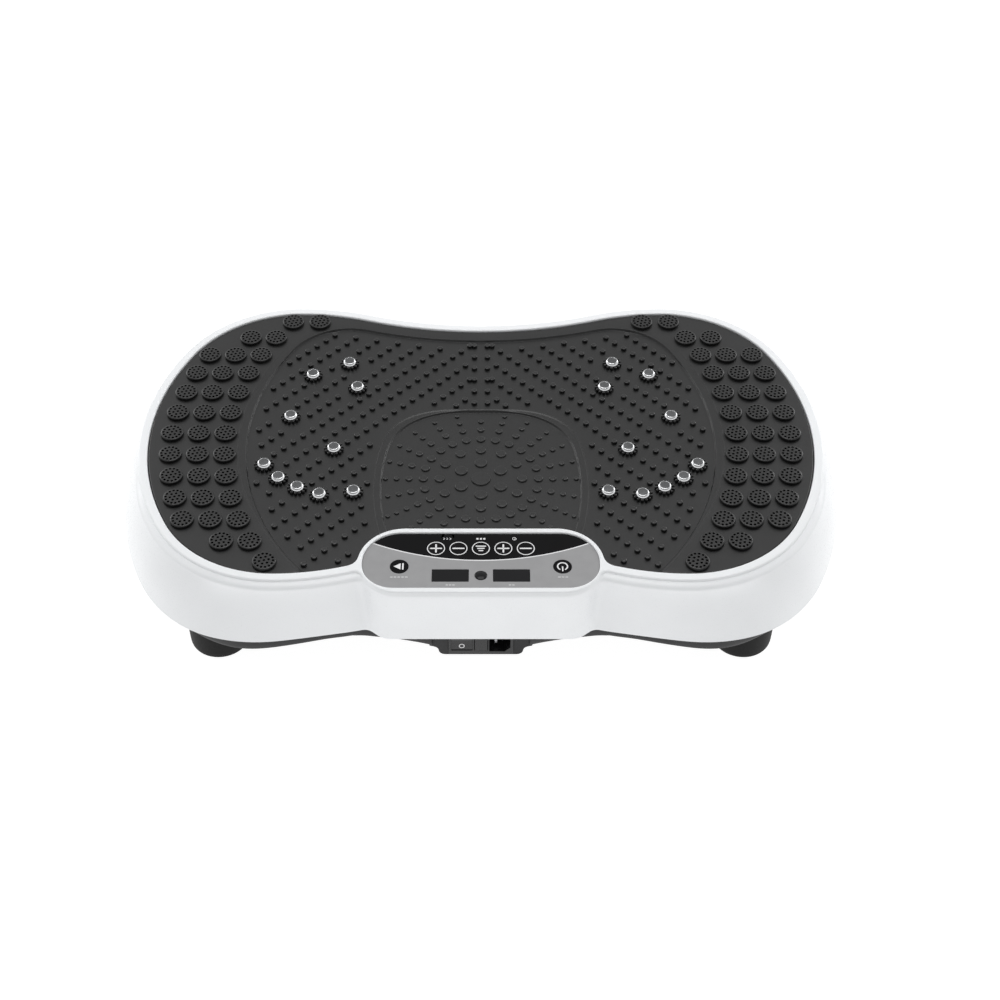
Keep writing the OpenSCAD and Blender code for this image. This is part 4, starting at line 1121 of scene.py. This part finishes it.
def tray_piece():
    s = Surface()
    angles = ray_angles(420)
    z0 = TRAY_BOTTOM
    edge = by_direction(TRAY_FLARE, angles, 1.2)
    # height above the lower edge and distance from it, up the outside and down the inside
    levels = [(0, -1.8), (0.3, -0.9), (1.2, -0.1), (2.6, 0.4), (5, 0.9), (10, 1.5), (17.4, 2.3), (18, 1.9),
              (18, -0.3), (17.4, -0.7), (8, -1.6), (2.5, -4.2)]
    rings = [s.ring(radial(tray_field(edge + grow, grow), angles), z0 + rise) for rise, grow in levels]
    s.strips(rings)
    holes = []
    for name in FEET:
        plan = circle(*middle_of(name), 3.2)
        holes.append((s.ring(plan, z0), s.ring(plan, z0 + 2.5)))
        s.strip(*holes[-1])
    s.fill([rings[0], *(h[0] for h in holes)])
    s.fill([rings[-1], *(h[1] for h in holes)])
    return make_piece("tray", s, "base", BASE, ["base_tray"], sharp=50)


def housing_outline(grow):
    """Front view of the inlet housing, (x, z): a flat bottom, rounded corners and flared flanks."""
    half, low, r = HOUSING_HALF + 0.5 + grow, HOUSING_BOTTOM - grow, 3.6
    right = [(half - r + r * math.sin(math.radians(a)), low + r - r * math.cos(math.radians(a)))
             for a in (0, 22, 45, 68)]
    right += [(half + 0.3, low + 5), (half + 1, low + 6.4), (half + 2.3, low + 7.7),
              (half + 4.2, low + 8.6), (half + 6.6, low + 9.1), (half + 7, low + 13),
              (half + 7, SHELL_BOTTOM + 1)]
    return np.array([(-x, z) for x, z in right] + right[::-1])


def housing_piece():
    """Box under the tray that holds the inlet: its front face is open for the inlet module."""
    s = Surface()

    def ring(plan, y):
        return s.add([(x, y, z) for x, z in plan])
    front, rear = -HOUSING_FACE, -HOUSING_REAR
    outer = []
    for inset, y in ((1.0, front), (0.5, front + 0.1), (0.15, front + 0.45), (0, front + 1.0)):
        outer.append(ring(grown(housing_outline(0), -inset), y))
    outer.append(ring(housing_outline(0), front + 34))
    low = housing_outline(0)
    low[:, 1] = np.maximum(low[:, 1], TRAY_BOTTOM + 0.6)
    outer.append(ring(low, rear))
    s.strips(outer)
    s.cap(outer[-1])
    hole = rounded_rect(-21.8, INLET_Z - 12.6, 21.8, INLET_Z + 12.4, 1.2)
    face_hole, deep_hole = ring(hole, front), ring(hole, front + 32)
    s.fill([outer[0], face_hole], axes=(0, 2))
    s.strip(face_hole, deep_hole)
    s.cap(deep_hole)
    return make_piece("inlet_housing", s, "base", BASE, sharp=40)


def facing(surface, y):
    """Turns a surface built in plan (x, z as y) with its top at height 0 to face the front at depth y."""
    def change(p):
        return np.column_stack([p[:, 0], y - p[:, 2], p[:, 1]])
    return surface.moved(change)


SOCKET_X, ROCKER_X, FUSE_X = 13.2, -13.6, 0.2


def socket_plan(g):
    """Mains socket on its side, (x, z), grown by g: two chamfered corners towards +X."""
    x, z = SOCKET_X, INLET_Z
    upper = [(x + 7.7 + g, 8 + 0.4 * g), (x + 3.8 + 0.4 * g, 12 + g), (x - 7.2 - g, 12 + g)]
    return np.array([(px, z - h) for px, h in upper[::-1]] + [(px, z + h) for px, h in upper])


def inlet_pieces():
    face = -HOUSING_FACE - 1.5
    s = Surface()
    frame_plan = rounded_rect(-22.9, INLET_Z - 15, 22.9, INLET_Z + 14.5, 1.0)
    rocker_hole = rounded_rect(ROCKER_X - 7.7, INLET_Z - 11, ROCKER_X + 7.7, INLET_Z + 11, 0.7)
    fuse_hole = rounded_rect(FUSE_X - 4.85, INLET_Z - 11, FUSE_X + 4.85, INLET_Z + 11, 0.4)
    s.slab(frame_plan, [rocker_hole, fuse_hole, socket_plan(0)], 0, -26, 0.5, hole_edge=0.3)
    facing(s, face)
    make_piece("inlet_body", s, "base", SWITCH, ["inlet_module"], sharp=35)

    well = Surface()
    well.slab(socket_plan(0.6), [], -17, -19, 0.2)
    core = rounded_rect(SOCKET_X - 5.2, INLET_Z - 9.4, SOCKET_X + 5.0, INLET_Z + 9.4, 1.2)
    core_hole = rounded_rect(SOCKET_X - 4.4, INLET_Z - 8.6, SOCKET_X + 4.2, INLET_Z + 8.6, 1.0)
    well.slab(core, [core_hole], -14, -18, 0.3)
    facing(well, face)
    make_piece("socket_well", well, "base", SWITCH, sharp=35)

    low, high = box_mm("rocker_switch")
    s = Surface()
    half = (high[0] - low[0]) / 2 - 0.1
    # section of the rocker, (z, y): its dished face first, then its back
    profile = [(-9.6, -6.5), (-7.0, -6.05), (-4.0, -5.4), (-1.5, -4.85), (0, -4.7), (1.5, -4.85),
               (4.0, -5.4), (7.0, -6.05), (9.6, -6.5), (9.5, -3), (8.6, 2.6), (0, 5.5), (-8.6, 2.6),
               (-9.5, -3)]
    sections = []
    for x, shrink in ((-half, 0.35), (-half + 0.12, 0.12), (-half + 0.4, 0), (half - 0.4, 0),
                      (half - 0.12, 0.12), (half, 0.35)):
        section = [(x, y + shrink * np.sign(-y) * 0.5, z - shrink * np.sign(z)) for z, y in profile]
        sections.append(s.add(section))
    for a, b in zip(sections, sections[1:]):
        s.strip(a, b)
    s.cap(sections[0])
    s.cap(sections[-1])
    marks = Surface()
    arc_stroke(marks, 0, -6.0, 1.75, 0.6, 0, 355, 0, mark=1)
    bar(marks, 0, 5.0, 0, 8.4, 0.7, 0, mark=1)

    def onto_face(p):
        depth = np.interp(p[:, 1], [q[0] for q in profile[:9]], [q[1] for q in profile[:9]])
        return np.column_stack([p[:, 0], depth - p[:, 2], p[:, 1]])
    s.copy_of(marks.moved(onto_face), [(0, 0, 0)])
    tilt = math.radians(8)
    turn = np.array([[1, 0, 0], [0, math.cos(tilt), math.sin(tilt)], [0, -math.sin(tilt), math.cos(tilt)]])
    s.moved(lambda p: p @ turn + np.array([ROCKER_X, -HOUSING_FACE + 4, INLET_Z]))
    make_piece("rocker", s, "rocker", [SWITCH, PRINT], ["rocker_switch"], sharp=35)

    s = Surface()
    plan = rounded_rect(FUSE_X - 4.5, INLET_Z - 10.65, FUSE_X + 4.5, INLET_Z + 10.65, 0.5)
    slot = rounded_rect(FUSE_X - 3, INLET_Z + 7.6, FUSE_X + 3, INLET_Z + 9.2, 0.4)
    s.slab(plan, [slot], 0.4, -1.4, 0.35, hole_edge=0.2)
    body = Surface()
    outside = rounded_rect(FUSE_X - 4.4, INLET_Z - 10.5, FUSE_X + 4.4, INLET_Z + 10.5, 0.4)
    inside = rounded_rect(FUSE_X - 3.2, INLET_Z - 9.6, FUSE_X + 3.2, INLET_Z + 9.6, 0.4)
    body.slab(outside, [inside], -4.6, -24, 0.2)
    body.slab(outside, [], -1.3, -4.7, 0.1)
    s.copy_of(body, [(0, 0, 0)])
    facing(s, face)
    make_piece("fuse_drawer_front", s, "fuse", SWITCH, ["fuse_drawer"], sharp=35)


def foot_pieces():
    # (radius, height): the hollow under the foot, its ring on the floor, the wall and the top
    profile = [(0, 3.4), (8, 3), (14, 1.6), (16, 0.5), (16.8, 0.05), (20.4, 0.05), (21.2, 0.25), (21.8, 0.7),
               (22.2, 1.5), (22.45, 3), (22.6, 6), (22.7, 12), (22.75, 20), (22.7, 30), (22.5, 37),
               (22.1, 43), (21.6, 47), (21, 48.9), (20.2, 49.9), (3.1, 49.9), (3.1, 30), (0, 30)]
    for name in FEET:
        s = Surface()
        s.lathe(profile, 72, middle_of(name), closed=False)
        make_piece(name + "_cup", s, "base", FOOT, [name], sharp=40)


# ---- stage ----
def stage():
    s = Surface()
    s.fill([s.add([(-6000, -6000, 0), (6000, -6000, 0), (6000, 6000, 0), (-6000, 6000, 0)])])
    mesh = bpy.data.meshes.new("floor")
    mesh.from_pydata([tuple(c * MM for c in p) for p in s.points], [], s.faces)
    mesh.materials.append(FLOOR)
    floor = bpy.data.objects.new("floor", mesh)
    bpy.context.scene.collection.objects.link(floor)


def soft_light(name, place, target, size, power):
    light = bpy.data.lights.new(name, "AREA")
    light.shape = "RECTANGLE"
    light.size, light.size_y = size
    light.energy = power
    obj = bpy.data.objects.new(name, light)
    obj.location = place
    obj.rotation_euler = (Vector(target) - Vector(place)).to_track_quat("-Z", "Y").to_euler()
    bpy.context.scene.collection.objects.link(obj)


def tone_ramp(nodes, links, value, stops):
    """Grey level by value, from a list of (position, level)."""
    tone = nodes.new("ShaderNodeValToRGB")
    links.new(value, tone.inputs["Fac"])
    elements = tone.color_ramp.elements
    for element, (position, level) in zip(elements, (stops[0], stops[-1])):
        element.position, element.color = position, (level, level, level, 1)
    for position, level in stops[1:-1]:
        elements.new(position).color = (level, level, level, 1)
    return tone.outputs["Color"]


def lighting():
    """Overhead and side softboxes in a pale room that is darker in front of the object than behind it."""
    soft_light("overhead", (0, 0.35, 1.7), (0, 0.0, 0.1), (1.1, 0.7), 8.0)
    for side in (-1, 1):
        soft_light("side_box", (side * 1.25, 1.2, 0.8), (0, 0, 0.1), (0.7, 0.7), 7.0)
    world = bpy.data.worlds.new("studio")
    bpy.context.scene.world = world
    world.use_nodes = True
    nodes, links = world.node_tree.nodes, world.node_tree.links
    place = nodes.new("ShaderNodeTexCoord")
    split = nodes.new("ShaderNodeSeparateXYZ")
    links.new(place.outputs["Generated"], split.inputs["Vector"])
    behind = tone_ramp(nodes, links, split.outputs["Z"], [(0, 1.0), (0.4, 0.85), (0.75, 0.75), (1, 0.6)])
    ahead = tone_ramp(nodes, links, split.outputs["Z"],
                      [(0, 1.0), (0.25, 0.85), (0.55, 0.3), (0.8, 0.3), (1, 0.6)])
    spread_y = nodes.new("ShaderNodeMapRange")
    spread_y.interpolation_type = "SMOOTHSTEP"
    for name, value in (("From Min", -0.25), ("From Max", 0.35)):
        spread_y.inputs[name].default_value = value
    links.new(split.outputs["Y"], spread_y.inputs["Value"])
    blend = nodes.new("ShaderNodeMix")
    blend.data_type = "RGBA"
    links.new(spread_y.outputs["Result"], blend.inputs["Factor"])
    links.new(ahead, blend.inputs[6])
    links.new(behind, blend.inputs[7])
    links.new(blend.outputs[2], nodes["Background"].inputs["Color"])
    nodes["Background"].inputs["Strength"].default_value = 1.0
    bpy.context.scene.view_settings.view_transform = "Standard"
    bpy.context.scene.view_settings.look = "None"


def camera():
    data = bpy.data.cameras.new("camera")
    data.sensor_width = 36
    data.lens = 61.09
    data.shift_x = 0.0191
    data.clip_end = 50
    obj = bpy.data.objects.new("camera", data)
    obj.location = (0, -0.9254, 0.978)
    obj.rotation_euler = (math.radians(90 - 45.12), 0, 0)
    bpy.context.scene.collection.objects.link(obj)
    bpy.context.scene.camera = obj


dress_cad_nodes()
shell_piece()
mat_piece()
stud_piece()
panel_piece()
key_pieces()
label_piece()
window_pieces()
tray_piece()
housing_piece()
inlet_pieces()
foot_pieces()
stage()
lighting()
camera()
